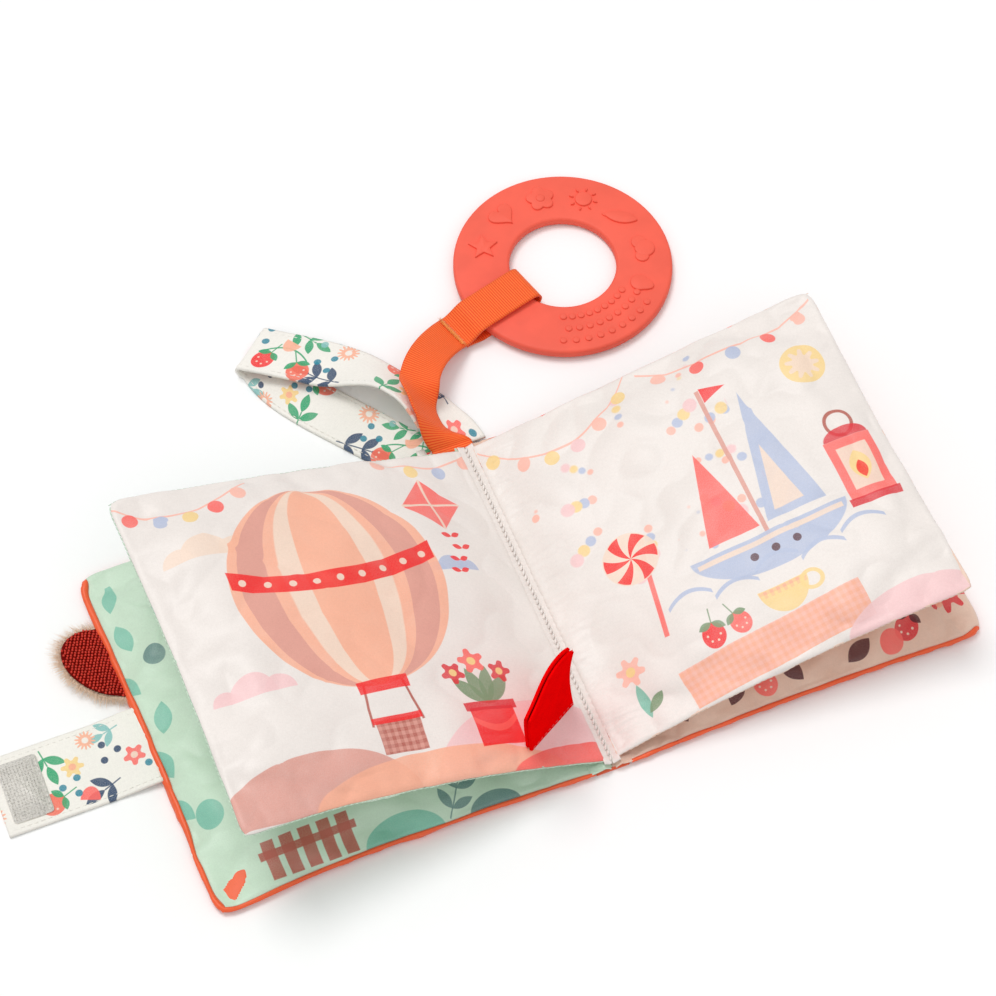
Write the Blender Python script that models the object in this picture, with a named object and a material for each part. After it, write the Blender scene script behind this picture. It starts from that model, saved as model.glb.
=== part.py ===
"""A crinkle cloth book that lies open at its middle spread, with its straps and teether.

Frame: X runs across the open spread, Y along the spine towards its head, Z up. The origin
is under the middle of the spine, on the surface that the book lies on. Sizes are in metres.
"""

import math
from dataclasses import dataclass

import bmesh
import bpy
from mathutils import Matrix, Vector

# Cloths and the clearance that sewn layers keep
SATIN = 0.0008
CRINKLE_FILM = 0.0003
WEBBING = 0.0011
GROSGRAIN = 0.0008
FELT = 0.0011
SEWN_GAP = 0.0003
SHARP_ANGLE = math.radians(40)

# Covers
COVER_WIDTH = 0.1355
COVER_HEIGHT = 0.140
COVER_CROWN = 0.006
COVER_EDGE_RISE = 0.0012

# Leaves
LEAF_WIDTH = 0.1345
LEAF_HEIGHT = 0.134
LEAF_CROWN_UP = 0.005
LEAF_CROWN_DOWN = 0.003
LEFT_LEAF_LIFT = math.radians(19)
RIGHT_LEAF_LIFT = math.radians(13)
LEFT_LEAF_BOW = 0.004
RIGHT_LEAF_BOW = 0.002

# How a padded panel is shaped
SIDE_DRAW_IN = 0.0015
CORNER_POWER = 12
HINGE_CROWN_POWER = 2
FREE_CROWN_POWER = 4
EDGE_RISE_POWER = 8
PANEL_CELLS = 10
SURFACE_ROUNDS = 8

# Spine
SPINE_WIDTH = 0.012
SPINE_CLOTH = 0.0009
SEAM_BUNDLE_WIDTH = 0.0032
SEAM_BUNDLE_RISE = 0.0018
SEAM_THREAD_RADIUS = 0.00045
SEAM_THREAD_SIDES = 10
LEAF_HINGE_X = 0.0015
LEAF_HINGE_Z = 0.0045

# Carry loop
LOOP_WIDTH = 0.020
LOOP_REACH = 0.087
LOOP_EYE = 0.010
LOOP_HEADING = math.radians(130.5)
LOOP_ROOT_X = -0.001
LOOP_STATIONS = 18
LOOP_SPREAD_POWER = 1.3
LOOP_TURN_RISE = 0.004
LOOP_TURN_STEPS = 6
# How far the strap has turned from square to the spine towards its own heading, from its root
LOOP_ROOT_TURN_SHARES = (0.0, 0.35, 0.7)

# Closure strap and its fasteners
STRAP_WIDTH = 0.030
STRAP_LENGTH = 0.056
STRAP_Y = -0.002
HOOK_PATCH_LENGTH = 0.014
HOOK_PATCH_INSET = 0.003
PATCH_SIDE_MARGIN = 0.0035
PATCH_THICKNESS = 0.0009
STRAP_STATIONS = 10
# The strap has come down from the cover's edge to the table by this share of its length
STRAP_FALL_SHARE = 0.35
# The loop patch covers these cells of the back cover, as shares of its half sides
PATCH_FROM_SHARE = 0.6
PATCH_TO_SHARE = 0.8
PATCH_HALF_SHARE = 0.2

# Teether ring
RING_OUTER_RADIUS = 0.041
RING_HOLE_RADIUS = 0.020
RING_THICKNESS = 0.004
RING_EDGE_ROUND = 0.0013
RING_X = 0.064
RING_Y = 0.130
RING_STEPS = 48
RING_EDGE_STEPS = 2

# Ribbon that holds the ring
RIBBON_WIDTH = 0.015
RIBBON_RING_CLEARANCE = 0.0006
RIBBON_ROOT_X = -0.004
RIBBON_HEADING = math.radians(195.8)
RIBBON_TACK_REACH = 0.0095
RIBBON_BANK = math.radians(32)
RIBBON_ARCH = 0.010
TACK_LENGTH = 0.0022
TACK_THICKNESS = 0.0006
TACK_RISE = 0.0031
# The ribbon's way from the spine to its tack, as shares of the way between the two
RIBBON_BEND_SHARES = ((-0.23, 0.5), (0.05, 0.93))
RIBBON_STEPS = 12
RIBBON_FOLD_STEPS = 5

# Lift flap on the left leaf
FLAP_WIDTH = 0.027
FLAP_HEIGHT = 0.032
FLAP_CORNER = 0.005
FLAP_SEAM_X = -0.016
FLAP_SEAM_Y = -0.051
FLAP_TURN = math.radians(36)
FLAP_CELLS = 4

# Ear-shaped tab on the fore edge of the front cover
EAR_LENGTH = 0.018
EAR_WIDTH = 0.029
EAR_Y = 0.0325
EAR_TERRY = 0.0014
EAR_FUR = 0.0022
EAR_FUR_SHOW = 0.0016
EAR_STEPS = 14

# Sizes that follow from the ones above
SEAM_BUNDLE_Z = SPINE_CLOTH + SEWN_GAP
SEAM_TOP = SEAM_BUNDLE_Z + SEAM_BUNDLE_RISE
LEAF_EDGE = SATIN + SEWN_GAP / 2
COVER_EDGE_X = SPINE_WIDTH / 2 + SEWN_GAP
LEAF_EDGE_X = LEAF_HINGE_X + SEWN_GAP
HEAD_Y = COVER_HEIGHT / 2 + SEWN_GAP
COVER_PIVOT_X = COVER_EDGE_X - SEWN_GAP / 2
# Both legs of the carry loop lie under the ribbon where it leaves the spine
LOOP_STACK = 2 * WEBBING + 3 * SEWN_GAP


def clear_scene():
    """Removes what the scene holds, so that the book stands alone."""
    for old in list(bpy.data.objects):
        bpy.data.objects.remove(old, do_unlink=True)


def material(name, color, roughness, sheen=0.0):
    """A plain Principled finish in linear colour."""
    made = bpy.data.materials.new(name)
    made.use_nodes = True
    shader = made.node_tree.nodes["Principled BSDF"]
    shader.inputs["Base Color"].default_value = (*color, 1.0)
    shader.inputs["Roughness"].default_value = roughness
    shader.inputs["Metallic"].default_value = 0.0
    shader.inputs["Sheen Weight"].default_value = sheen
    made.diffuse_color = (*color, 1.0)
    return made


def finish(name, mesh, look, pivot=None):
    """Makes an object of a bmesh, facing out, with its origin on the pivot of its joint."""
    bmesh.ops.recalc_face_normals(mesh, faces=mesh.faces)
    origin = Vector(pivot) if pivot else Vector()
    bmesh.ops.translate(mesh, verts=mesh.verts, vec=-origin)
    data = bpy.data.meshes.new(name)
    mesh.to_mesh(data)
    mesh.free()
    data.materials.append(look)
    data.shade_smooth()
    data.set_sharp_from_angle(angle=SHARP_ANGLE)
    made = bpy.data.objects.new(name, data)
    made.location = origin
    bpy.context.scene.collection.objects.link(made)
    return made


@dataclass
class Panel:
    """One padded square of the book: the shape that its cloths, film and wadding share."""

    side: int
    hinge_x: float
    hinge_z: float
    lift: float
    width: float
    height: float
    crown_up: float
    crown_down: float
    bow: float = 0.0
    edge_rise: float = 0.0
    dent: float = 0.0

    def outline(self, u, v):
        """Distance from the hinge edge and along the spine of a point, given as shares."""
        rounding = 1.0
        reach = max(abs(u), abs(v))
        if u > 0:
            power = CORNER_POWER
            rounding = ((u / reach) ** power + abs(v / reach) ** power) ** (-1 / power)
        u, v = u * rounding, v * rounding
        along = self.width / 2 * (1 + u) - SIDE_DRAW_IN * max(u, 0) ** 2 * (1 - v * v)
        across = self.height / 2 * v - SIDE_DRAW_IN * v * abs(v) * (1 - u * u)
        return along, across

    def crown(self, u, v):
        """How much of the full crown the padding has at a point."""
        power = FREE_CROWN_POWER if u > 0 else HINGE_CROWN_POWER
        return (1 - abs(u) ** power) * (1 - abs(v) ** FREE_CROWN_POWER)

    def bottom(self, u, v):
        """Height of the underside over the panel's plane."""
        rise = self.edge_rise * max(max(u, 0), abs(v)) ** EDGE_RISE_POWER
        return rise - self.crown_down * self.crown(u, v) + self.dent_at(u, v)

    def dent_at(self, u, v):
        """Height that the loop patch takes out of the underside, on the cells that it covers."""
        first, last = PATCH_FROM_SHARE, PATCH_TO_SHARE
        # A quarter of a cell keeps the patch's own edge points inside it
        slack = 1 / (4 * PANEL_CELLS)
        inside = first - slack < u < last + slack and abs(v) < PATCH_HALF_SHARE + slack
        return self.dent if inside else 0.0

    def top(self, u, v):
        """Height of the upper side over the panel's plane."""
        rise = self.edge_rise * max(max(u, 0), abs(v)) ** EDGE_RISE_POWER
        return rise + 2 * SATIN + SEWN_GAP + self.crown_up * self.crown(u, v)

    def surface_height(self, x, y):
        """Height of the upper side above the table at a place on it."""
        v = y / (self.height / 2)
        u, height = 0.0, 0.0
        for _ in range(SURFACE_ROUNDS):
            height = self.top(u, v) + self.bow * math.sin(math.pi * (1 + u) / 2)
            along = (self.side * x - self.hinge_x + height * math.sin(self.lift)) / math.cos(self.lift)
            u = 2 * along / self.width - 1
        return self.place(u, v, self.top(u, v)).z

    def place(self, u, v, height):
        """World place of a point of the panel."""
        along, across = self.outline(u, v)
        height += self.bow * math.sin(math.pi * (1 + u) / 2)
        cosine, sine = math.cos(self.lift), math.sin(self.lift)
        x = self.hinge_x + along * cosine - height * sine
        z = self.hinge_z + along * sine + height * cosine
        return Vector((self.side * x, across, z))


def leaf(side, lift, bow):
    """A leaf, whose plane is set down by half its edge so that it turns about its middle."""
    return Panel(
        side=side,
        hinge_x=LEAF_EDGE_X + LEAF_EDGE * math.sin(lift),
        hinge_z=LEAF_HINGE_Z - LEAF_EDGE * math.cos(lift),
        lift=lift,
        width=LEAF_WIDTH,
        height=LEAF_HEIGHT,
        crown_up=LEAF_CROWN_UP,
        crown_down=LEAF_CROWN_DOWN,
        bow=bow,
    )


def cover(side, dent):
    """A cover, which lies flat on its outer side."""
    return Panel(
        side=side,
        hinge_x=COVER_EDGE_X,
        hinge_z=0.0,
        lift=0.0,
        width=COVER_WIDTH,
        height=COVER_HEIGHT,
        crown_up=COVER_CROWN,
        crown_down=0.0,
        edge_rise=COVER_EDGE_RISE,
        dent=dent,
    )


def layer(name, panel, low, high, look, pivot, rim_cells=0):
    """One closed layer of a panel, between two heights. It stops rim_cells short of the edge."""
    mesh = bmesh.new()
    cells = PANEL_CELLS - 2 * rim_cells
    bmesh.ops.create_grid(
        mesh, x_segments=cells, y_segments=cells, size=cells / PANEL_CELLS
    )
    bmesh.ops.triangulate(mesh, faces=mesh.faces, quad_method="FIXED")
    lower = list(mesh.verts)
    made = bmesh.ops.extrude_face_region(mesh, geom=mesh.faces[:])
    upper = [item for item in made["geom"] if isinstance(item, bmesh.types.BMVert)]
    for verts, height in ((lower, low), (upper, high)):
        for vert in verts:
            u, v = vert.co.x, vert.co.y
            vert.co = panel.place(u, v, height(u, v))
    return finish(name, mesh, look, pivot)


def padded_panel(prefix, lower_name, upper_name, panel, looks, pivot):
    """The four layers of a panel: lower cloth, wadding, crinkle film and upper cloth."""
    low_look, film_look, wadding_look, high_look = looks

    def film_top(u, v):
        return panel.top(u, v) - SATIN - SEWN_GAP

    layer(
        f"{prefix}_{lower_name}",
        panel,
        panel.bottom,
        lambda u, v: panel.bottom(u, v) + SATIN,
        low_look,
        pivot,
    )
    layer(
        f"{prefix}_wadding",
        panel,
        lambda u, v: panel.bottom(u, v) + SATIN + SEWN_GAP,
        lambda u, v: film_top(u, v) - CRINKLE_FILM - SEWN_GAP,
        wadding_look,
        pivot,
        rim_cells=1,
    )
    layer(
        f"{prefix}_crinkle_film",
        panel,
        lambda u, v: film_top(u, v) - CRINKLE_FILM,
        film_top,
        film_look,
        pivot,
        rim_cells=1,
    )
    layer(
        f"{prefix}_{upper_name}",
        panel,
        lambda u, v: panel.top(u, v) - SATIN,
        panel.top,
        high_look,
        pivot,
    )


def block(name, low, high, look, pivot=None):
    """A box from its lowest to its highest corner."""
    mesh = bmesh.new()
    bmesh.ops.create_cube(mesh, size=1)
    size = [b - a for a, b in zip(low, high)]
    middle = [(a + b) / 2 for a, b in zip(low, high)]
    bmesh.ops.scale(mesh, vec=size, verts=mesh.verts)
    bmesh.ops.translate(mesh, vec=middle, verts=mesh.verts)
    return finish(name, mesh, look, pivot)


def band(name, stations, width, thickness, look, pivot):
    """A flat band swept through stations: a place, a direction across and a direction up."""
    mesh = bmesh.new()
    corners = ((-1, -1), (1, -1), (1, 1), (-1, 1))

    def ring_of(station):
        place, across, up = station
        return [place + across * (a * width / 2) + up * (b * thickness / 2) for a, b in corners]

    face = mesh.faces.new([mesh.verts.new(place) for place in ring_of(stations[0])])
    for station in stations[1:]:
        made = bmesh.ops.extrude_discrete_faces(mesh, faces=[face])
        face = made["faces"][0]
        for vert, place in zip(face.verts, ring_of(station)):
            vert.co = place
    open_edges = [edge for edge in mesh.edges if edge.is_boundary]
    bmesh.ops.holes_fill(mesh, edges=open_edges)
    return finish(name, mesh, look, pivot)


def band_stations(places, across):
    """Stations of a band along places, each with its own direction across."""
    stations = []
    for index, place in enumerate(places):
        before = places[max(index - 1, 0)]
        after = places[min(index + 1, len(places) - 1)]
        along = (after - before).normalized()
        sideways = across[index].normalized()
        up = sideways.cross(along).normalized() * -1
        stations.append((place, sideways, up))
    return stations


def bezier(points, share):
    """A point of a cubic Bezier curve."""
    a, b, c, d = points
    t, s = share, 1 - share
    return a * s**3 + b * 3 * s * s * t + c * 3 * s * t * t + d * t**3


def add_spine(looks):
    """The band of outer cloth between the covers, the gathered bundle and its seam thread."""
    half, length = SPINE_WIDTH / 2, COVER_HEIGHT / 2
    block("spine_strip", (-half, -length, 0), (half, length, SPINE_CLOTH), looks["orange"])
    half, length = SEAM_BUNDLE_WIDTH / 2, LEAF_HEIGHT / 2
    block(
        "spine_seam_bundle",
        (-half, -length, SEAM_BUNDLE_Z),
        (half, length, SEAM_TOP),
        looks["white"],
    )
    mesh = bmesh.new()
    bmesh.ops.create_cone(
        mesh,
        cap_ends=True,
        segments=SEAM_THREAD_SIDES,
        radius1=SEAM_THREAD_RADIUS,
        radius2=SEAM_THREAD_RADIUS,
        depth=LEAF_HEIGHT,
    )
    bmesh.ops.rotate(mesh, verts=mesh.verts, matrix=Matrix.Rotation(math.pi / 2, 3, "X"))
    height = SEAM_TOP + SEWN_GAP + SEAM_THREAD_RADIUS
    bmesh.ops.translate(mesh, verts=mesh.verts, vec=(0, 0, height))
    finish("spine_seam_thread", mesh, looks["thread"])


def cover_edge_x(y):
    """How far from the origin the fore edge of a cover is at a distance along the spine."""
    share = y / (COVER_HEIGHT / 2)
    return COVER_EDGE_X + COVER_WIDTH - SIDE_DRAW_IN * (1 - share * share)


def add_closure_strap(looks):
    """The printed strap on the front cover's fore edge, with the hook patch at its end."""
    root = -cover_edge_x(abs(STRAP_Y) + STRAP_WIDTH / 2) - SEWN_GAP
    pivot = (root + SEWN_GAP / 2, STRAP_Y, COVER_EDGE_RISE + WEBBING)
    across = Vector((0, 1, 0))
    low = WEBBING / 2
    high = COVER_EDGE_RISE + WEBBING / 2
    places = []
    for step in range(STRAP_STATIONS + 1):
        share = step / STRAP_STATIONS
        fall = (1 + math.cos(math.pi * min(share / STRAP_FALL_SHARE, 1))) / 2
        places.append(Vector((root - STRAP_LENGTH * share, STRAP_Y, low + (high - low) * fall)))
    stations = band_stations(places, [across] * len(places))
    band("closure_strap", stations, STRAP_WIDTH, WEBBING, looks["print"], pivot)
    end = root - STRAP_LENGTH + HOOK_PATCH_INSET
    half = STRAP_WIDTH / 2 - PATCH_SIDE_MARGIN
    base = WEBBING + SEWN_GAP
    block(
        "hook_patch",
        (end, STRAP_Y - half, base),
        (end + HOOK_PATCH_LENGTH, STRAP_Y + half, base + PATCH_THICKNESS),
        looks["hook"],
        pivot,
    )


def add_loop_patch(panel, looks, pivot):
    """The soft half of the fastener, sewn into a dent under the back cover."""
    near = panel.place(PATCH_FROM_SHARE, 0, 0)
    far = panel.place(PATCH_TO_SHARE, PATCH_HALF_SHARE, 0)
    block(
        "loop_patch",
        (near.x + SEWN_GAP, -far.y + SEWN_GAP, 0),
        (far.x - SEWN_GAP, far.y - SEWN_GAP, PATCH_THICKNESS),
        looks["loop_pile"],
        pivot,
    )


def add_carry_loop(looks):
    """The printed loop at the spine's head: two legs that bow apart round an eye."""
    heading = Vector((math.cos(LOOP_HEADING), math.sin(LOOP_HEADING), 0))
    beside = Vector((heading.y, -heading.x, 0))
    root = Vector((LOOP_ROOT_X, HEAD_Y + SEWN_GAP, 0))
    pivot = (LOOP_ROOT_X, HEAD_Y, SEWN_GAP)
    bow = (LOOP_WIDTH + LOOP_EYE) / 2
    leg_low = SEWN_GAP + WEBBING / 2
    leg_high = leg_low + WEBBING + SEWN_GAP
    turn_radius = (LOOP_TURN_RISE + leg_high - leg_low) / 2
    straight = LOOP_REACH - turn_radius

    def leg(share, sign, base):
        """A place on one leg, and the direction across the strap there."""
        spread = math.sin(math.pi * share) ** LOOP_SPREAD_POWER
        rise = LOOP_TURN_RISE * share if sign > 0 else 0.0
        place = root + heading * (straight * share) + beside * (sign * bow * spread)
        return place + Vector((0, 0, base + rise))

    places, across = [], []
    for step in range(LOOP_STATIONS + 1):
        places.append(leg(step / LOOP_STATIONS, 1, leg_high))
        across.append(beside)
    middle = root + heading * straight + Vector((0, 0, leg_low + turn_radius))
    for step in range(1, LOOP_TURN_STEPS):
        angle = math.pi * step / LOOP_TURN_STEPS
        places.append(
            middle
            + heading * (turn_radius * math.sin(angle))
            + Vector((0, 0, turn_radius * math.cos(angle)))
        )
        across.append(beside)
    for step in range(LOOP_STATIONS + 1):
        places.append(leg(1 - step / LOOP_STATIONS, -1, leg_low))
        across.append(beside)
    # The strap leaves the spine square to it, so its first stations turn towards the loop
    for index, share in enumerate(LOOP_ROOT_TURN_SHARES):
        level = Vector((1, 0, 0)).lerp(beside, share).normalized()
        across[index] = level
        across[-1 - index] = level
    stations = band_stations(places, across)
    band("carry_loop", stations, LOOP_WIDTH, WEBBING, looks["print"], pivot)


def ring_frame():
    """Where the ring lies: one side is lifted by the ribbon that passes under it."""
    outwards = Vector((math.cos(RIBBON_HEADING), math.sin(RIBBON_HEADING), 0))
    lift = GROSGRAIN + RIBBON_RING_CLEARANCE
    tilt = math.asin(lift / (2 * RING_OUTER_RADIUS))
    level_axis = outwards.cross(Vector((0, 0, 1)))
    turn = Matrix.Rotation(tilt, 4, level_axis)
    middle = Vector((RING_X, RING_Y, (lift + RING_THICKNESS) / 2))
    return outwards, turn, middle


def ring_section():
    """Points of the ring's section, a flat bar with its four corners rounded."""
    inner, outer = RING_HOLE_RADIUS + RING_EDGE_ROUND, RING_OUTER_RADIUS - RING_EDGE_ROUND
    half = RING_THICKNESS / 2 - RING_EDGE_ROUND
    points = []
    for quarter, (x, z) in enumerate(((outer, half), (inner, half), (inner, -half), (outer, -half))):
        for step in range(RING_EDGE_STEPS + 1):
            angle = math.pi / 2 * (quarter + step / RING_EDGE_STEPS)
            corner = Vector((math.cos(angle), 0, math.sin(angle))) * RING_EDGE_ROUND
            points.append(Vector((x, 0, z)) + corner)
    return points


def add_ring(looks):
    """The flat rubber ring, turned from a rounded section."""
    _, turn, middle = ring_frame()
    mesh = bmesh.new()
    verts = [mesh.verts.new(point) for point in ring_section()]
    edges = [mesh.edges.new((a, b)) for a, b in zip(verts, verts[1:] + verts[:1])]
    bmesh.ops.spin(
        mesh,
        geom=verts + edges,
        cent=(0, 0, 0),
        axis=(0, 0, 1),
        angle=2 * math.pi,
        steps=RING_STEPS,
        use_merge=True,
    )
    bmesh.ops.transform(mesh, matrix=Matrix.Translation(middle) @ turn, verts=mesh.verts)
    finish("teether_ring", mesh, looks["rubber"], middle)


def add_ribbon(looks):
    """The ribbon: from the spine in a banked bend to its tack, then round the ring and back."""
    outwards, _, _ = ring_frame()
    up = Vector((0, 0, 1))
    beside = up.cross(outwards)
    centre = Vector((RING_X, RING_Y, 0))
    half = GROSGRAIN / 2
    under = half
    over = GROSGRAIN + 2 * RIBBON_RING_CLEARANCE + RING_THICKNESS + half + RIBBON_RING_CLEARANCE
    fold = (over - under) / 2
    tack = RING_OUTER_RADIUS + RIBBON_TACK_REACH
    tack_high = TACK_RISE + half
    tack_low = tack_high - GROSGRAIN - SEWN_GAP
    edge = RING_OUTER_RADIUS + RIBBON_RING_CLEARANCE
    fold_at = RING_HOLE_RADIUS - RIBBON_RING_CLEARANCE

    def at(reach, height):
        """A place over or under the ring, at a reach from its middle towards the spine."""
        return centre + outwards * reach + up * height

    root_z = LOOP_STACK + half
    start = Vector((RIBBON_ROOT_X, HEAD_Y + SEWN_GAP, root_z))
    end = at(tack, tack_high)
    way = end - start
    bends = [
        start + Vector((way.x * a, way.y * b, RIBBON_ARCH)) for a, b in RIBBON_BEND_SHARES
    ]
    places, across = [], []
    for step in range(RIBBON_STEPS + 1):
        share = step / RIBBON_STEPS
        place = bezier((start, *bends, end), share)
        level = Vector((-1, 0, 0)).lerp(-beside, share).normalized()
        banked = level + up * (math.tan(RIBBON_BANK) * math.sin(math.pi * share) ** 2)
        places.append(place)
        across.append(banked.normalized())
    rest = [
        at(edge + RIBBON_TACK_REACH / 2, (tack_high + over) / 2),
        at(edge, over),
        at((edge + fold_at) / 2, over),
        at(fold_at, over),
    ]
    for step in range(1, RIBBON_FOLD_STEPS):
        angle = math.pi * step / RIBBON_FOLD_STEPS
        rest.append(at(fold_at - fold * math.sin(angle), under + fold * (1 + math.cos(angle))))
    rest += [
        at(fold_at, under),
        at((edge + fold_at) / 2, under),
        at(edge, under),
        at(edge + RIBBON_TACK_REACH / 2, (tack_low + under) / 2),
        at(tack, tack_low),
    ]
    places += rest
    across += [-beside] * len(rest)
    pivot = (RIBBON_ROOT_X, HEAD_Y, LOOP_STACK + GROSGRAIN)
    stations = band_stations(places, across)
    band("teether_ribbon", stations, RIBBON_WIDTH, GROSGRAIN, looks["grosgrain"], pivot)
    mesh = bmesh.new()
    bmesh.ops.create_cube(mesh, size=1)
    scale = (TACK_LENGTH, RIBBON_WIDTH - TACK_LENGTH, TACK_THICKNESS)
    bmesh.ops.scale(mesh, vec=scale, verts=mesh.verts)
    lift = half + SEWN_GAP + TACK_THICKNESS / 2
    along = (places[RIBBON_STEPS] - places[RIBBON_STEPS - 1]).normalized()
    normal = along.cross(across[RIBBON_STEPS]).normalized()
    if normal.z < 0:
        normal.negate()
    frame = Matrix((along, normal.cross(along), normal)).transposed().to_4x4()
    spot = places[RIBBON_STEPS] - along * TACK_LENGTH + normal * (lift + SEWN_GAP)
    bmesh.ops.transform(mesh, matrix=Matrix.Translation(spot) @ frame, verts=mesh.verts)
    finish("ribbon_bar_tack", mesh, looks["tack"], pivot)


def add_flap(looks, panel):
    """The red lift flap, of two felts, which stands on the left leaf by its sewn hinge."""
    along = Vector((math.cos(FLAP_TURN), math.sin(FLAP_TURN), 0))
    through = Vector((-along.y, along.x, 0))
    seam = Vector((FLAP_SEAM_X, FLAP_SEAM_Y, 0))
    pivot = seam + Vector((0, 0, panel.surface_height(seam.x, seam.y) + SEWN_GAP))
    for name, near in (("flap_back_felt", SEWN_GAP / 2), ("flap_front_felt", -SEWN_GAP / 2 - FELT)):
        mesh = bmesh.new()
        bmesh.ops.create_grid(mesh, x_segments=FLAP_CELLS, y_segments=FLAP_CELLS, size=1)
        back = list(mesh.verts)
        made = bmesh.ops.extrude_face_region(mesh, geom=mesh.faces[:])
        front = [item for item in made["geom"] if isinstance(item, bmesh.types.BMVert)]
        for verts, depth in ((back, near + FELT), (front, near)):
            for vert in verts:
                u, v = vert.co.x, vert.co.y
                rise = (1 + v) / 2
                foot = seam + along * (u * FLAP_WIDTH / 2) + through * depth
                height = FLAP_HEIGHT * rise - FLAP_CORNER * (rise * abs(u)) ** CORNER_POWER
                base = panel.surface_height(foot.x, foot.y) + 2 * SEWN_GAP
                vert.co = foot + Vector((0, 0, base + height))
        finish(name, mesh, looks["felt"], pivot)


def ear_outline(length, width):
    """A half oval that stands out from its straight sewn edge."""
    points = []
    for step in range(EAR_STEPS + 1):
        angle = math.pi * step / EAR_STEPS - math.pi / 2
        points.append((length * math.cos(angle), width / 2 * math.sin(angle)))
    return points


def add_ear_tab(looks):
    """The ear-shaped tab: terry over fur, sewn to the front cover's fore edge."""
    root = -cover_edge_x(EAR_Y + EAR_WIDTH / 2) - SEWN_GAP
    pivot = (root + SEWN_GAP / 2, EAR_Y, EAR_FUR + SEWN_GAP + EAR_TERRY)
    layers = (
        ("ear_tab_fur", 0.0, EAR_FUR, EAR_FUR_SHOW, "fur"),
        ("ear_tab_terry", EAR_FUR + SEWN_GAP, EAR_TERRY, 0.0, "terry"),
    )
    for name, base, thickness, extra, look in layers:
        mesh = bmesh.new()
        outline = ear_outline(EAR_LENGTH + extra, EAR_WIDTH + 2 * extra)
        verts = [mesh.verts.new((root - x, EAR_Y + y, base)) for x, y in outline]
        face = mesh.faces.new(verts)
        made = bmesh.ops.extrude_face_region(mesh, geom=[face])
        lifted = [item for item in made["geom"] if isinstance(item, bmesh.types.BMVert)]
        bmesh.ops.translate(mesh, verts=lifted, vec=(0, 0, thickness))
        finish(name, mesh, looks[look], pivot)


def all_looks():
    """The finish of every cloth and trim."""
    return {
        "white": material("white_satin", (0.85, 0.81, 0.78), 0.45, 0.3),
        "mint": material("mint_satin", (0.55, 0.76, 0.62), 0.45, 0.3),
        "peach": material("peach_satin", (0.83, 0.55, 0.40), 0.45, 0.3),
        "orange": material("orange_satin", (0.91, 0.13, 0.03), 0.4, 0.3),
        "film": material("crinkle_film", (0.75, 0.75, 0.78), 0.15),
        "wadding": material("polyester_wadding", (0.88, 0.88, 0.86), 0.95),
        "thread": material("silver_thread", (0.75, 0.76, 0.72), 0.5),
        "print": material("printed_cotton", (0.88, 0.84, 0.79), 0.8),
        "hook": material("clear_hook_tape", (0.80, 0.82, 0.78), 0.4),
        "loop_pile": material("white_loop_tape", (0.85, 0.85, 0.83), 0.95),
        "rubber": material("coral_rubber", (0.93, 0.15, 0.09), 0.5),
        "grosgrain": material("orange_grosgrain", (1.0, 0.11, 0.02), 0.6),
        "tack": material("orange_tack_thread", (0.95, 0.17, 0.05), 0.6),
        "felt": material("red_felt", (0.90, 0.01, 0.01), 0.9, 0.4),
        "terry": material("rust_terry", (0.38, 0.03, 0.01), 0.95),
        "fur": material("peach_fur", (0.92, 0.55, 0.38), 0.95),
    }


def main():
    """Builds the book, from its covers in to its flap."""
    clear_scene()
    looks = all_looks()
    cover_pivot = (COVER_PIVOT_X, 0.0, 0.0)
    leaf_pivot = (LEAF_HINGE_X, 0.0, LEAF_HINGE_Z)
    inside = (looks["film"], looks["wadding"])
    dent = PATCH_THICKNESS + SEWN_GAP
    covers = (("front_cover", -1, "mint", 0.0), ("back_cover", 1, "peach", dent))
    for prefix, side, lining, depth in covers:
        panel = cover(side, depth)
        pivot = (side * cover_pivot[0], *cover_pivot[1:])
        cloths = (looks["orange"], *inside, looks[lining])
        padded_panel(prefix, "outer_cloth", "inner_page", panel, cloths, pivot)
    add_loop_patch(cover(1, dent), looks, cover_pivot)
    leaves = (
        ("left_leaf", -1, LEFT_LEAF_LIFT, LEFT_LEAF_BOW, "mint"),
        ("right_leaf", 1, RIGHT_LEAF_LIFT, RIGHT_LEAF_BOW, "peach"),
    )
    for prefix, side, lift, bow, lining in leaves:
        panel = leaf(side, lift, bow)
        pivot = (side * leaf_pivot[0], *leaf_pivot[1:])
        cloths = (looks[lining], *inside, looks["white"])
        padded_panel(prefix, "back_page", "face_page", panel, cloths, pivot)
    add_spine(looks)
    add_closure_strap(looks)
    add_ear_tab(looks)
    add_carry_loop(looks)
    add_ring(looks)
    add_ribbon(looks)
    add_flap(looks, leaf(-1, LEFT_LEAF_LIFT, LEFT_LEAF_BOW))


main()
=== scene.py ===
"""Dresses the crinkle cloth book: its padded satin pages and prints, its straps and its teether.

The frame gives every piece its place: X across the open spread, Y along the spine towards its
head, Z up. Sizes are in metres. Places on a cloth are kept on it in millimetres.
"""

from __future__ import annotations

import bisect
import logging
import math
import random
from collections.abc import Callable, Iterable, Sequence
from dataclasses import dataclass, field
from enum import Enum

import bmesh
import bpy
from mathutils import Matrix, Vector, noise

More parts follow.
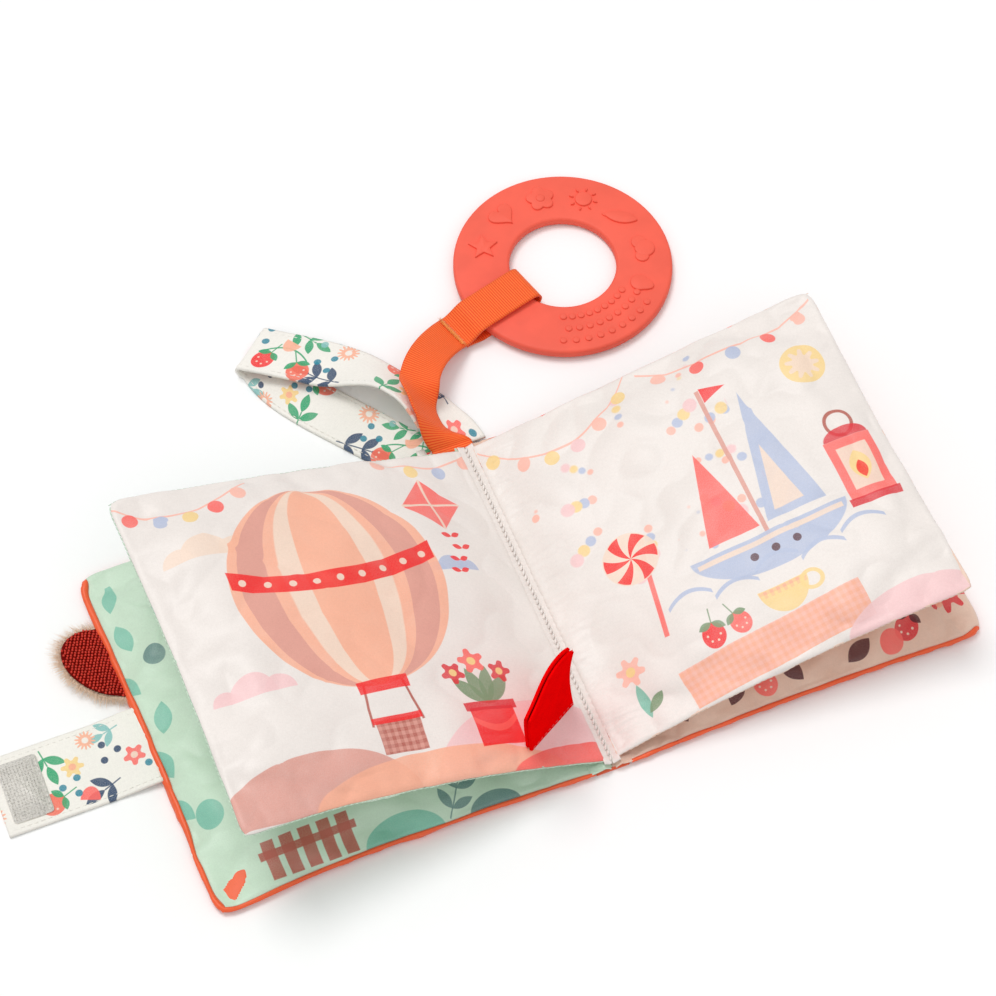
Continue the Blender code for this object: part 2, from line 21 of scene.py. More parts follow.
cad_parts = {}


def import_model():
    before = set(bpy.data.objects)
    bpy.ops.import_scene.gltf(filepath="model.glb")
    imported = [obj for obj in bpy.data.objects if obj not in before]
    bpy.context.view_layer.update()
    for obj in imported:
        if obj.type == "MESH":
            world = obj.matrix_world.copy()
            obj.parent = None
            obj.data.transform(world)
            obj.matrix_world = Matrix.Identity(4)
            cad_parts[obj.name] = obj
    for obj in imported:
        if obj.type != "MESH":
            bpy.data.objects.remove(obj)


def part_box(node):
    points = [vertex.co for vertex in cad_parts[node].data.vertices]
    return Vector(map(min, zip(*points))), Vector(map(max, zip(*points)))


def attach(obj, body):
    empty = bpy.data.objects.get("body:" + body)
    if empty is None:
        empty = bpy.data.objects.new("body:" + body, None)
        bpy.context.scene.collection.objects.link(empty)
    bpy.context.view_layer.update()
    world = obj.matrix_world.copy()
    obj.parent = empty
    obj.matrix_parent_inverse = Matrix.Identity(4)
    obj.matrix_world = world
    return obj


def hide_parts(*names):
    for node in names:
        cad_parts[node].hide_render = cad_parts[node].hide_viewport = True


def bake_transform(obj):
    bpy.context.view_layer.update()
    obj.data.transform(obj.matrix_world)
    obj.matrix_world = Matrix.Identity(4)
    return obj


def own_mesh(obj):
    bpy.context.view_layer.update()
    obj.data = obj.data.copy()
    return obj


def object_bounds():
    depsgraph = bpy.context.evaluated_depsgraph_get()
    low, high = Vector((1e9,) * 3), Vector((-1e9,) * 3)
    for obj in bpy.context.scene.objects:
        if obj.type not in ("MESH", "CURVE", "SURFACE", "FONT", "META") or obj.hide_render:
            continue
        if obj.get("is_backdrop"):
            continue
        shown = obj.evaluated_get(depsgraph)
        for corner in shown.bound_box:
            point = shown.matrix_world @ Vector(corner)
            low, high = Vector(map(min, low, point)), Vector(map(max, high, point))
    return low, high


LOG = logging.getLogger("cloth_book")
MILLIMETRE = 0.001
CLOTH_PLACE = "cloth_mm"
UP = Vector((0, 0, 1))
RIB_PITCH = 0.0009
THREAD_RADIUS = 0.00016
EDGE_STITCH_PITCH = 0.0024
PRESSED_HALF = 0.0006

Colour = tuple[float, float, float]
Height = Callable[[float, float], float]


def shade(red: int, green: int, blue: int) -> Colour:
    """Turns a colour as it shows, from 0 to 255, into the linear one that a shader takes.

    Args:
        red: How much red shows.
        green: How much green shows.
        blue: How much blue shows.

    Returns:
        The linear colour.
    """

    def linear(shown: int) -> float:
        """One channel of it."""
        share = shown / 255
        return share / 12.92 if share <= 0.04045 else ((share + 0.055) / 1.055) ** 2.4

    return linear(red), linear(green), linear(blue)


class Ink(Enum):
    """The colours that the cloths are dyed and printed in, with a few that hold painted light and shade."""

    WHITE = shade(241, 233, 227)
    MINT = shade(205, 227, 205)
    PEACH = shade(238, 206, 186)
    ORANGE = shade(246, 96, 46)
    # Painted shade and painted light: the ribbon's orange as it shows in a rib's shaded valley and on its lit
    # crest.
    RIB_PAINTED_SHADE = shade(244, 62, 8)
    RIB_PAINTED_LIGHT = shade(255, 118, 48)
    APRICOT = shade(252, 182, 152)
    ROSE = shade(226, 162, 148)
    CREAM = shade(246, 221, 202)
    CORAL = shade(255, 108, 100)
    RED = shade(246, 26, 30)
    CRIMSON = shade(224, 38, 52)
    PLUM = shade(88, 32, 42)
    BLUE_GREY = shade(186, 196, 221)
    BLUSH = shade(255, 190, 172)
    YELLOW = shade(250, 216, 146)
    PALE_PINK = shade(248, 205, 205)
    LEAF_GREEN = shade(128, 156, 118)
    SPEARMINT = shade(128, 194, 172)
    SLATE = shade(104, 140, 136)
    RUST = shade(184, 92, 76)
    COTTON = shade(246, 242, 234)
    NAVY = shade(28, 66, 104)
    TEAL = shade(38, 138, 160)
    PALE_TEAL = shade(138, 196, 192)
    EMERALD = shade(34, 166, 112)
    BERRY = shade(246, 112, 88)
    # The terry's loops in their lit colour, partly painted light, and its ground in painted shade, as between
    # the loops.
    TERRY_LIT_LOOP = shade(216, 54, 38)
    TERRY_PAINTED_SHADE = shade(118, 8, 4)
    FUR = shade(255, 226, 200)
    FELT = shade(255, 4, 6)
    RUBBER = shade(248, 98, 76)
    TACK = shade(255, 158, 70)


class Graph:
    """Builds a shader node tree one value after another."""

    def __init__(self, tree: bpy.types.NodeTree) -> None:
        """Starts on a node tree."""
        self.tree = tree

    def node(self, kind: str, **settings: object) -> bpy.types.Node:
        """Adds a node of a kind, with its settings."""
        made = self.tree.nodes.new(kind)
        for name, value in settings.items():
            setattr(made, name, value)
        return made

    def feed(self, socket: bpy.types.NodeSocket, value: object) -> None:
        """Gives an input a value, or links another node's output to it."""
        if isinstance(value, bpy.types.NodeSocket):
            self.tree.links.new(value, socket)
        elif socket.type == "RGBA":
            socket.default_value = (*value, 1.0)
        else:
            socket.default_value = value

    def math(self, operation: str, *values: object) -> bpy.types.NodeSocket:
        """The result of a sum or another operation on numbers."""
        made = self.node("ShaderNodeMath", operation=operation)
        for socket, value in zip(made.inputs, values):
            self.feed(socket, value)
        return made.outputs[0]

    def vector(self, operation: str, *values: object) -> bpy.types.NodeSocket:
        """The result of an operation on vectors."""
        made = self.node("ShaderNodeVectorMath", operation=operation)
        for socket, value in zip(made.inputs, values):
            self.feed(socket, value)
        return made.outputs["Value" if operation == "LENGTH" else "Vector"]

    def split(self, vector: bpy.types.NodeSocket) -> list[bpy.types.NodeSocket]:
        """The X, Y and Z of a vector."""
        made = self.node("ShaderNodeSeparateXYZ")
        self.feed(made.inputs[0], vector)
        return list(made.outputs)

    def join(self, x: object, y: object, z: object = 0.0) -> bpy.types.NodeSocket:
        """A vector of three numbers."""
        made = self.node("ShaderNodeCombineXYZ")
        for socket, value in zip(made.inputs, (x, y, z)):
            self.feed(socket, value)
        return made.outputs[0]

    def mix(self, share: object, low: object, high: object) -> bpy.types.NodeSocket:
        """A colour between two others."""
        made = self.node("ShaderNodeMix", data_type="RGBA")
        for socket, value in zip((made.inputs[0], made.inputs[6], made.inputs[7]), (share, low, high)):
            self.feed(socket, value)
        return made.outputs[2]

    def toned(self, colour: object, tone: object) -> bpy.types.NodeSocket:
        """A colour made lighter or darker by a tone."""
        return self.vector("MULTIPLY", colour, self.join(tone, tone, tone))

    def beyond(self, value: object, limit: object) -> bpy.types.NodeSocket:
        """How far past a limit, on either side of zero, a value is."""
        return self.math("SUBTRACT", self.math("ABSOLUTE", value), limit)

    def span(self, value: object, start: float, end: float, low: float, high: float) -> bpy.types.NodeSocket:
        """A value taken smoothly from one range to another."""
        made = self.node("ShaderNodeMapRange", interpolation_type="SMOOTHSTEP")
        for socket, given in zip(made.inputs, (value, start, end, low, high)):
            self.feed(socket, given)
        return made.outputs[0]

    def cloud(self, place: object, scale: float, detail: float = 2.0) -> bpy.types.NodeSocket:
        """Noise at a place, about one half."""
        made = self.node("ShaderNodeTexNoise")
        self.feed(made.inputs["Vector"], place)
        self.feed(made.inputs["Scale"], scale)
        self.feed(made.inputs["Detail"], detail)
        return made.outputs["Fac"]

    def cells(self, place: object) -> bpy.types.NodeSocket:
        """Distance from the nearest of many scattered points, about 1 apart."""
        made = self.node("ShaderNodeTexVoronoi")
        self.feed(made.inputs["Vector"], place)
        self.feed(made.inputs["Scale"], 1.0)
        return made.outputs["Distance"]

    def group(self, tree: bpy.types.NodeTree, **values: object) -> bpy.types.Node:
        """Places a node group, with a value for each of its inputs."""
        made = self.node("ShaderNodeGroup", node_tree=tree)
        for name, value in values.items():
            self.feed(made.inputs[name], value)
        return made


def new_group(name: str, inputs: dict[str, str], outputs: dict[str, str]) -> tuple[Graph, dict, dict]:
    """Starts a shader node group.

    Args:
        name: What it is called.
        inputs: The kind of each input: Float, Vector or Color.
        outputs: The kind of each output.

    Returns:
        Its graph, the sockets that bring its inputs in and those that take its outputs.
    """
    tree = bpy.data.node_groups.new(name, "ShaderNodeTree")
    for names, way in ((inputs, "INPUT"), (outputs, "OUTPUT")):
        for socket, kind in names.items():
            tree.interface.new_socket(name=socket, in_out=way, socket_type=f"NodeSocket{kind}")
    start = tree.nodes.new("NodeGroupInput")
    end = tree.nodes.new("NodeGroupOutput")
    brought = {socket: start.outputs[socket] for socket in inputs}
    taken = {socket: end.inputs[socket] for socket in outputs}
    return Graph(tree), brought, taken


class Shape(Enum):
    """The shapes that the prints are made of."""

    DISC = "disc"
    BOX = "box"
    RING = "ring"
    LEAF = "leaf"
    FLOWER = "flower"
    FLAG = "flag"
    SWAG = "swag"
    DOME = "dome"
    GORES = "gores"
    BLADES = "blades"
    CHECKS = "checks"
    SPRINKLE = "sprinkle"


@dataclass(frozen=True)
class Motif:
    """One printed shape, in millimetres on its cloth.

    Its size is half its width and half its height. Detail is a count of petals, blades or gores,
    the half width of a line, or the width of a check.
    """

    shape: Shape
    ink: Ink
    centre: tuple[float, float]
    size: tuple[float, float]
    turn: float = 0.0
    detail: float = 0.0


class PrintShop:
    """Makes the node groups that the prints share, each once."""

    EDGE_BLUR = 0.16
    PETAL_NOTCH = 0.62
    BLADE_SWIRL = 2.4

    def __init__(self) -> None:
        """Starts with nothing made."""
        self.made: dict[Shape, bpy.types.NodeTree] = {}
        self.hand = self.make_hand()
        self.press = self.make_press()

    def make_hand(self) -> bpy.types.NodeTree:
        """The hand of a cloth: its threads, and how evenly it took its dye.

        Returns:
            A group that gives a colour, a roughness and a height.
        """
        graph, given, out = new_group(
            "cloth_hand",
            {"Place": "Vector", "Colour": "Color", "Pitch": "Float", "Gloss": "Float"},
            {"Colour": "Color", "Roughness": "Float", "Height": "Float"},
        )
        threads = graph.vector("DIVIDE", given["Place"], graph.join(given["Pitch"], given["Pitch"], 1.0))
        warp = graph.cloud(graph.vector("MULTIPLY", threads, (1.0, 0.22, 1.0)), 1.0, 1.0)
        weft = graph.cloud(graph.vector("MULTIPLY", threads, (0.22, 1.0, 1.0)), 1.0, 1.0)
        weave = graph.math("ADD", warp, weft)
        patchy = graph.cloud(given["Place"], 0.045, 3.0)
        threaded = graph.span(weave, 0.6, 1.4, -0.03, 0.03)
        dyed = graph.span(patchy, 0.3, 0.7, 0.965, 1.01)
        graph.feed(out["Colour"], graph.toned(given["Colour"], graph.math("ADD", threaded, dyed)))
        uneven = graph.span(patchy, 0.3, 0.7, -0.05, 0.05)
        graph.feed(out["Roughness"], graph.math("ADD", given["Gloss"], uneven))
        graph.feed(out["Height"], weave)
        return graph.tree

    def make_press(self) -> bpy.types.NodeTree:
        """How strongly the printing press laid its ink: full, with a fine grain and thin places.

        Returns:
            A group that gives a strength from 0 to 1.
        """
        graph, given, out = new_group("print_press", {"Place": "Vector"}, {"Strength": "Float"})
        grain = graph.span(graph.cloud(given["Place"], 3.2, 1.0), 0.35, 0.65, 0.86, 1.0)
        thin = graph.span(graph.cloud(given["Place"], 0.12, 2.0), 0.3, 0.6, 0.94, 1.0)
        graph.feed(out["Strength"], graph.math("MULTIPLY", grain, thin))
        return graph.tree

    def group(self, shape: Shape) -> bpy.types.NodeTree:
        """The group of a shape, whose Mask is 1 inside it."""
        if shape not in self.made:
            self.made[shape] = self.make_shape(shape)
        return self.made[shape]

    def make_shape(self, shape: Shape) -> bpy.types.NodeTree:
        """Builds the group of a shape from the distance to its outline.

        Args:
            shape: The shape.

        Returns:
            Its group.
        """
        graph, given, out = new_group(
            f"print_{shape.value}",
            {"Place": "Vector", "Centre": "Vector", "Turn": "Float", "Size": "Vector", "Detail": "Float"},
            {"Mask": "Float"},
        )
        turned = graph.node("ShaderNodeVectorRotate", rotation_type="Z_AXIS")
        graph.feed(turned.inputs["Vector"], graph.vector("SUBTRACT", given["Place"], given["Centre"]))
        graph.feed(turned.inputs["Angle"], graph.math("MULTIPLY", given["Turn"], -1.0))
        x, y, _ = graph.split(turned.outputs[0])
        wide, high, _ = graph.split(given["Size"])
        across, upward = graph.math("DIVIDE", x, wide), graph.math("DIVIDE", y, high)
        reach = graph.vector("LENGTH", graph.join(across, upward))
        small = graph.math("MINIMUM", wide, high)
        oval = graph.math("MULTIPLY", graph.math("SUBTRACT", reach, 1.0), small)
        aside = graph.beyond(x, wide)
        box = graph.math("MAXIMUM", aside, graph.beyond(y, high))
        angle = graph.math("ARCTAN2", y, x)
        detail = given["Detail"]
        turns = graph.math("MULTIPLY", angle, detail)
        stripe: bpy.types.NodeSocket | None = None
        if shape in (Shape.BOX, Shape.CHECKS, Shape.SPRINKLE):
            distance = box
        elif shape is Shape.RING:
            distance = graph.beyond(oval, detail)
        elif shape is Shape.LEAF:
            pointed = graph.math("SUBTRACT", 1.0, graph.math("POWER", across, 2.0))
            distance = graph.beyond(y, graph.math("MULTIPLY", high, pointed))
        elif shape is Shape.FLOWER:
            petal = graph.span(graph.math("COSINE", turns), -1.0, 1.0, self.PETAL_NOTCH, 1.0)
            distance = graph.math("MULTIPLY", graph.math("SUBTRACT", reach, petal), small)
        elif shape is Shape.FLAG:
            side = graph.math("MULTIPLY", wide, graph.math("ADD", 1.0, upward))
            distance = graph.math("MAXIMUM", y, graph.beyond(x, side))
        elif shape is Shape.SWAG:
            hung = graph.math("SUBTRACT", graph.math("POWER", across, 2.0), 1.0)
            below = graph.math("SUBTRACT", y, graph.math("MULTIPLY", high, hung))
            distance = graph.math("MAXIMUM", graph.beyond(below, detail), aside)
        elif shape is Shape.DOME:
            distance = graph.math("MAXIMUM", oval, graph.math("MULTIPLY", y, -1.0))
        else:
            distance = oval
        if shape is Shape.GORES:
            left = graph.math("SUBTRACT", 1.0, graph.math("MULTIPLY", upward, upward))
            level = graph.math("SQRT", graph.math("MAXIMUM", left, 0.001))
            aim = graph.math("MAXIMUM", graph.math("DIVIDE", across, level), -1.0)
            round_it = graph.math("ARCSINE", graph.math("MINIMUM", aim, 1.0))
            waves = graph.math("COSINE", graph.math("MULTIPLY", round_it, detail))
            stripe = graph.span(waves, -0.04, 0.04, 0.0, 1.0)
        elif shape is Shape.SPRINKLE:
            spots = graph.vector("DIVIDE", turned.outputs[0], graph.join(detail, detail, 1.0))
            stripe = graph.span(graph.cells(spots), 0.15, 0.2, 1.0, 0.0)
        elif shape is Shape.BLADES:
            swirl = graph.math("ADD", turns, graph.math("MULTIPLY", reach, self.BLADE_SWIRL))
            stripe = graph.span(graph.math("SINE", swirl), -0.08, 0.08, 0.0, 1.0)
        elif shape is Shape.CHECKS:
            phases = [graph.math("DIVIDE", graph.math("MULTIPLY", way, math.pi), detail) for way in (x, y)]
            bars = [graph.span(graph.math("SINE", phase), -0.15, 0.15, 0.0, 0.5) for phase in phases]
            stripe = graph.math("ADD", *bars)
        mask = graph.span(distance, -self.EDGE_BLUR, self.EDGE_BLUR, 1.0, 0.0)
        graph.feed(out["Mask"], mask if stripe is None else graph.math("MULTIPLY", mask, stripe))
        return graph.tree

    def print_on(self, graph: Graph, place: object, base: object, motifs: Iterable[Motif]) -> object:
        """Prints motifs over a base colour, one over another.

        Args:
            graph: The graph of the material.
            place: Where on the cloth a point is, in millimetres.
            base: The colour of the cloth.
            motifs: The shapes, the lowest first.

        Returns:
            The colour of the printed cloth.
        """
        strength = graph.group(self.press, Place=place).outputs["Strength"]
        colour = base
        for motif in motifs:
            mask = graph.group(
                self.group(motif.shape),
                Place=place,
                Centre=(*motif.centre, 0.0),
                Turn=math.radians(motif.turn),
                Size=(*motif.size, 1.0),
                Detail=motif.detail,
            ).outputs["Mask"]
            colour = graph.mix(graph.math("MULTIPLY", mask, strength), colour, motif.ink.value)
        return colour


def onward(x: float, y: float, turn: float, reach: float) -> tuple[float, float]:
    """The place at a reach from another one, in a direction in degrees."""
    way = math.radians(turn)
    return x + math.cos(way) * reach, y + math.sin(way) * reach


class Design:
    """A print, put together shape by shape. Its places and sizes are in millimetres."""

    def __init__(self) -> None:
        """Starts with nothing printed."""
        self.motifs: list[Motif] = []

    def put(
        self, shape: Shape, ink: Ink, x: float, y: float,
        wide: float, high: float, turn: float = 0, detail: float = 0,
    ) -> None:
        """Adds one shape, given its middle, its half width and its half height."""
        self.motifs.append(Motif(shape, ink, (x, y), (wide, high), turn, detail))

    def spot(self, ink: Ink, x: float, y: float, radius: float) -> None:
        """Adds a round spot."""
        self.put(Shape.DISC, ink, x, y, radius, radius)

    def flower(
        self, ink: Ink, x: float, y: float, size: float, petals: int = 5, heart: Ink = Ink.YELLOW
    ) -> None:
        """Adds a flower with a round heart."""
        self.put(Shape.FLOWER, ink, x, y, size, size, 13 * x, petals)
        self.spot(heart, x, y, size * 0.32)

    def leaf(self, ink: Ink, x: float, y: float, turn: float, length: float, share: float = 0.42) -> None:
        """Adds a leaf that grows from a place in a direction."""
        half = length / 2
        self.put(Shape.LEAF, ink, *onward(x, y, turn, half), half, half * share, turn)

    def sprig(self, ink: Ink, x: float, y: float, turn: float, leaf: float, pairs: int = 2) -> None:
        """Adds a stem with leaves in pairs and one at its tip."""
        length = leaf * pairs * 0.85
        self.put(Shape.BOX, ink, *onward(x, y, turn, length / 2), length / 2, 0.25, turn)
        for number in range(pairs):
            joint = onward(x, y, turn, length * (number + 0.5) / pairs)
            for side in (-50, 50):
                self.leaf(ink, *joint, turn + side, leaf)
        self.leaf(ink, *onward(x, y, turn, length), turn, leaf)

    def berry(self, ink: Ink, x: float, y: float, size: float, turn: float, green: Ink) -> None:
        """Adds a round berry with light seeds, on a stalk with two leaves."""
        self.put(Shape.BOX, green, *onward(x, y, turn, size * 1.5), size * 0.7, 0.22, turn)
        self.put(Shape.DISC, ink, x, y, size, size * 0.92, turn)
        for number in range(4):
            self.spot(Ink.CREAM, *onward(x, y, turn + 90 + 60 * number, size * 0.5), size * 0.09)
        for side in (-115, 115):
            self.leaf(green, *onward(x, y, turn, size), turn + side, size * 1.15, 0.5)

    def garland(self, x: float, y: float, half: float, sag: float, inks: Sequence[Ink]) -> None:
        """Hangs a thread of pompoms, given its middle between its ends."""
        self.put(Shape.SWAG, Ink.BLUSH, x, y, half, sag, 0, 0.4)
        for number, ink in enumerate(inks):
            share = 2 * (number + 0.5) / len(inks) - 1
            self.spot(ink, x + half * share, y - sag * (1 - share * share) - 2.6, 2.7)

    def cloud(self, ink: Ink, x: float, y: float, size: float) -> None:
        """Adds a cloud with a flat foot."""
        for aside, share in ((-1.1, 0.6), (0.0, 1.0), (1.15, 0.7)):
            self.put(Shape.DOME, ink, x + aside * size, y, size * share, size * share)

    def sprinkle(self, x: float, y: float, wide: float, high: float, inks: Sequence[Ink]) -> None:
        """Scatters small spots over an area."""
        for number, ink in enumerate(inks):
            self.put(Shape.SPRINKLE, ink, x, y, wide, high, 0, 9.5 + 1.7 * number)


def balloon_print() -> tuple[Motif, ...]:
    """The left page: a striped balloon over hills, with a kite and a pot of flowers."""
    page = Design()
    x, y, wide, high = -72, 13, 38, 41
    page.put(Shape.DOME, Ink.PALE_PINK, -24, -67, 40, 26)
    page.cloud(Ink.CREAM, -112, 33, 9)
    page.cloud(Ink.BLUE_GREY, -29, 12, 6)
    page.cloud(Ink.PALE_PINK, -115, -22, 8)
    page.put(Shape.DOME, Ink.ROSE, -106, -67, 36, 20)
    page.put(Shape.DOME, Ink.APRICOT, -62, -67, 46, 13)
    page.put(Shape.DOME, Ink.CORAL, -9, -67, 27, 8)
    for side in (-1, 1):
        page.put(Shape.BOX, Ink.RUST, x + 8 * side, -35, 0.45, 8, 8 * side)
    page.put(Shape.DISC, Ink.APRICOT, x, y, wide, high)
    page.put(Shape.GORES, Ink.ROSE, x, y, wide, high, 0, 7)
    page.put(Shape.GORES, Ink.CREAM, x, y, wide, high, 0, 3)
    page.put(Shape.GORES, Ink.APRICOT, x, y, wide * 0.3, high, 0, 1)
    page.put(Shape.SWAG, Ink.RED, x, y + 8, wide * 0.98, 7, 0, 3.6)
    for number in range(9):
        share = (number - 4) / 4.6
        page.spot(Ink.CREAM, x + wide * share, y + 8 - 7 * (1 - share * share), 1.3)
    page.put(Shape.BOX, Ink.RED, x, y - high, 9, 2.4)
    page.put(Shape.BOX, Ink.RUST, x, -47, 8, 6)
    page.put(Shape.CHECKS, Ink.ROSE, x, -47, 8, 6, 0, 1.3)
    page.put(Shape.BOX, Ink.RED, x, -41, 9, 1.2)
    page.put(Shape.BOX, Ink.CORAL, -25, 41, 8.5, 8.5, 45)
    for spar_wide, spar_high in ((0.5, 12), (12, 0.5)):
        page.put(Shape.BOX, Ink.CREAM, -25, 41, spar_wide, spar_high)
    for number in range(4):
        for turn in (20, 160):
            page.leaf(Ink.RED, -24 + 2.5 * math.sin(number * 1.7), 26 - 5 * number, turn, 4, 0.5)
    page.garland(-112, 62, 24, 9, (Ink.CORAL, Ink.BLUE_GREY, Ink.YELLOW, Ink.CORAL, Ink.BLUSH))
    page.garland(-20, 66, 24, 7, (Ink.BLUSH, Ink.YELLOW, Ink.BLUE_GREY, Ink.BLUSH))
    for turn in (45, 75, 105, 135):
        page.leaf(Ink.LEAF_GREEN, -37, -41, turn, 15, 0.36)
    page.flower(Ink.CRIMSON, -46, -28, 4.5)
    page.flower(Ink.CORAL, -37, -24, 5.0)
    page.flower(Ink.CRIMSON, -28, -29, 4.2)
    page.put(Shape.BOX, Ink.RED, -37, -49, 8.5, 7)
    page.put(Shape.SWAG, Ink.CORAL, -37, -46, 8.5, 4, 0, 1.2)
    page.put(Shape.BOX, Ink.CRIMSON, -37, -41.5, 10, 1.7)
    return tuple(page.motifs)


def harbour_print() -> tuple[Motif, ...]:
    """The right page: a sailing boat, a pinwheel, a lantern and a checked cloth with fruit."""
    page = Design()
    page.sprinkle(48, 22, 40, 38, (Ink.BLUSH, Ink.BLUE_GREY, Ink.YELLOW, Ink.PALE_PINK))
    page.garland(30, 64, 30, 17, (Ink.YELLOW, Ink.BLUSH, Ink.YELLOW, Ink.PALE_PINK, Ink.BLUSH, Ink.YELLOW))
    page.garland(98, 62, 34, 9, (Ink.BLUSH, Ink.CORAL, Ink.BLUE_GREY, Ink.CORAL, Ink.BLUSH))
    page.spot(Ink.YELLOW, 118, 36, 8)
    page.put(Shape.FLOWER, Ink.CREAM, 118, 36, 6.2, 6.2, 0, 9)
    for number in range(5):
        page.put(Shape.SWAG, Ink.BLUE_GREY, 46 + 16 * number, -30 - 3 * (number % 2), 8, 3.4, 180, 0.8)
    page.put(Shape.BOX, Ink.ROSE, 80, 8, 0.8, 34)
    page.put(Shape.FLAG, Ink.BLUE_GREY, 92.5, -15, 11, 50, 180)
    page.put(Shape.FLAG, Ink.CREAM, 91, -12, 5.5, 25, 180)
    page.put(Shape.FLAG, Ink.CORAL, 69, -15, 9.5, 36, 180)
    page.put(Shape.FLAG, Ink.RED, 81, 39.5, 3, 9, 90)
    page.put(Shape.DOME, Ink.BLUE_GREY, 80, -18, 29, 14, 180)
    page.put(Shape.BOX, Ink.CREAM, 80, -20.5, 27, 1.0)
    for number in range(3):
        page.spot(Ink.PLUM, 72 + 8 * number, -25, 1.5)
    page.put(Shape.BOX, Ink.CORAL, 36, -22, 0.9, 16, -8)
    page.spot(Ink.CREAM, 34, -5, 10)
    page.put(Shape.BLADES, Ink.RED, 34, -5, 9.6, 9.6, 0, 6)
    page.put(Shape.RING, Ink.RUST, 119, 9, 4.5, 5, 0, 0.6)
    page.put(Shape.DOME, Ink.CRIMSON, 119, 3, 8, 4.5)
    page.put(Shape.BOX, Ink.CORAL, 119, -9, 8.5, 12)
    page.put(Shape.BOX, Ink.CREAM, 119, -9, 5.4, 8.4)
    page.leaf(Ink.YELLOW, 119, -15, 90, 12, 0.6)
    page.leaf(Ink.RED, 119, -14, 90, 7, 0.55)
    page.put(Shape.BOX, Ink.CRIMSON, 119, -22, 9.5, 1.6)
    page.put(Shape.BOX, Ink.BLUSH, 66, -56, 34, 7, 3)
    page.put(Shape.CHECKS, Ink.APRICOT, 66, -56, 34, 7, 3, 1.3)
    page.berry(Ink.RED, 48, -45, 4.4, 80, Ink.LEAF_GREEN)
    page.berry(Ink.CORAL, 58, -44.5, 4.0, 110, Ink.LEAF_GREEN)
    page.put(Shape.DOME, Ink.YELLOW, 76, -38, 9, 10, 180)
    page.put(Shape.CHECKS, Ink.APRICOT, 76, -39.5, 8.6, 1.2, 0, 1.2)
    page.put(Shape.RING, Ink.YELLOW, 86, -41, 3.5, 3.2, 0, 0.7)
    page.put(Shape.DOME, Ink.PALE_PINK, 114, -67, 26, 12)
    page.flower(Ink.BLUSH, 17, -42, 5.5, 6)
    page.leaf(Ink.SPEARMINT, 17, -60, 90, 13, 0.3)
    page.leaf(Ink.LEAF_GREEN, 17, -58, 35, 9, 0.4)
    return tuple(page.motifs)


def meadow_print() -> tuple[Motif, ...]:
    """The front cover's inner page: leafy sprigs, pebbles and a fence."""
    page = Design()
    for number in range(6):
        page.leaf(Ink.SPEARMINT, -133 + 2 * (number % 2), 50 - 17 * number, 75 + 25 * (number % 3), 12, 0.5)
    page.spot(Ink.SLATE, -124, 28, 4)
    page.spot(Ink.SPEARMINT, -126, -36, 5)
    for number in range(5):
        page.put(Shape.BOX, Ink.RUST, -112 + 6.5 * number, -59, 2.2, 7)
    page.put(Shape.BOX, Ink.RUST, -99, -57, 17, 1.4)
    page.put(Shape.DOME, Ink.SPEARMINT, -68, -68, 14, 9)
    page.sprig(Ink.SLATE, -52, -66, 60, 8)
    page.put(Shape.DOME, Ink.SLATE, -36, -68, 9, 6)
    for number in range(6):
        page.sprig(Ink.SPEARMINT, -112 + 18 * number, -30 + 34 * (number % 3), 40 + 50 * (number % 2), 9)
    return tuple(page.motifs)


def orchard_print() -> tuple[Motif, ...]:
    """The back cover's inner page: berries, blossoms and dark leaves."""
    page = Design()
    page.flower(Ink.CRIMSON, 127, -50, 8, 8, Ink.CREAM)
    page.berry(Ink.CRIMSON, 108, -58, 5, 60, Ink.PLUM)
    page.spot(Ink.CORAL, 101, -61, 4.6)
    for x, turn in ((84, 30), (67, 120), (40, 50), (24, 110)):
        page.leaf(Ink.PLUM, x, -63, turn, 11, 0.55)
    page.berry(Ink.CORAL, 54, -60, 4.5, 100, Ink.PLUM)
    for number in range(7):
        ink = Ink.CORAL if number % 2 else Ink.APRICOT
        page.flower(ink, 130 - 19 * number, -24 + 31 * (number % 3), 7, 6)
    page.sprinkle(75, 5, 60, 60, (Ink.APRICOT,))
    return tuple(page.motifs)


def lining_print(ink: Ink, other: Ink) -> tuple[Motif, ...]:
    """A leaf's back page: small leaves and spots in rows, in a tile of 36 mm."""
    page = Design()
    for x, y, turn in ((-9, -9, 35), (9, 9, 215), (-9, 9, 120), (9, -9, 300)):
        page.leaf(ink, x - 3, y - 2, turn, 9, 0.5)
    for x, y in ((0, 0), (14, 1), (-14, -1), (1, 14), (-1, -14)):
        page.spot(other, x, y, 1.6)
    return tuple(page.motifs)


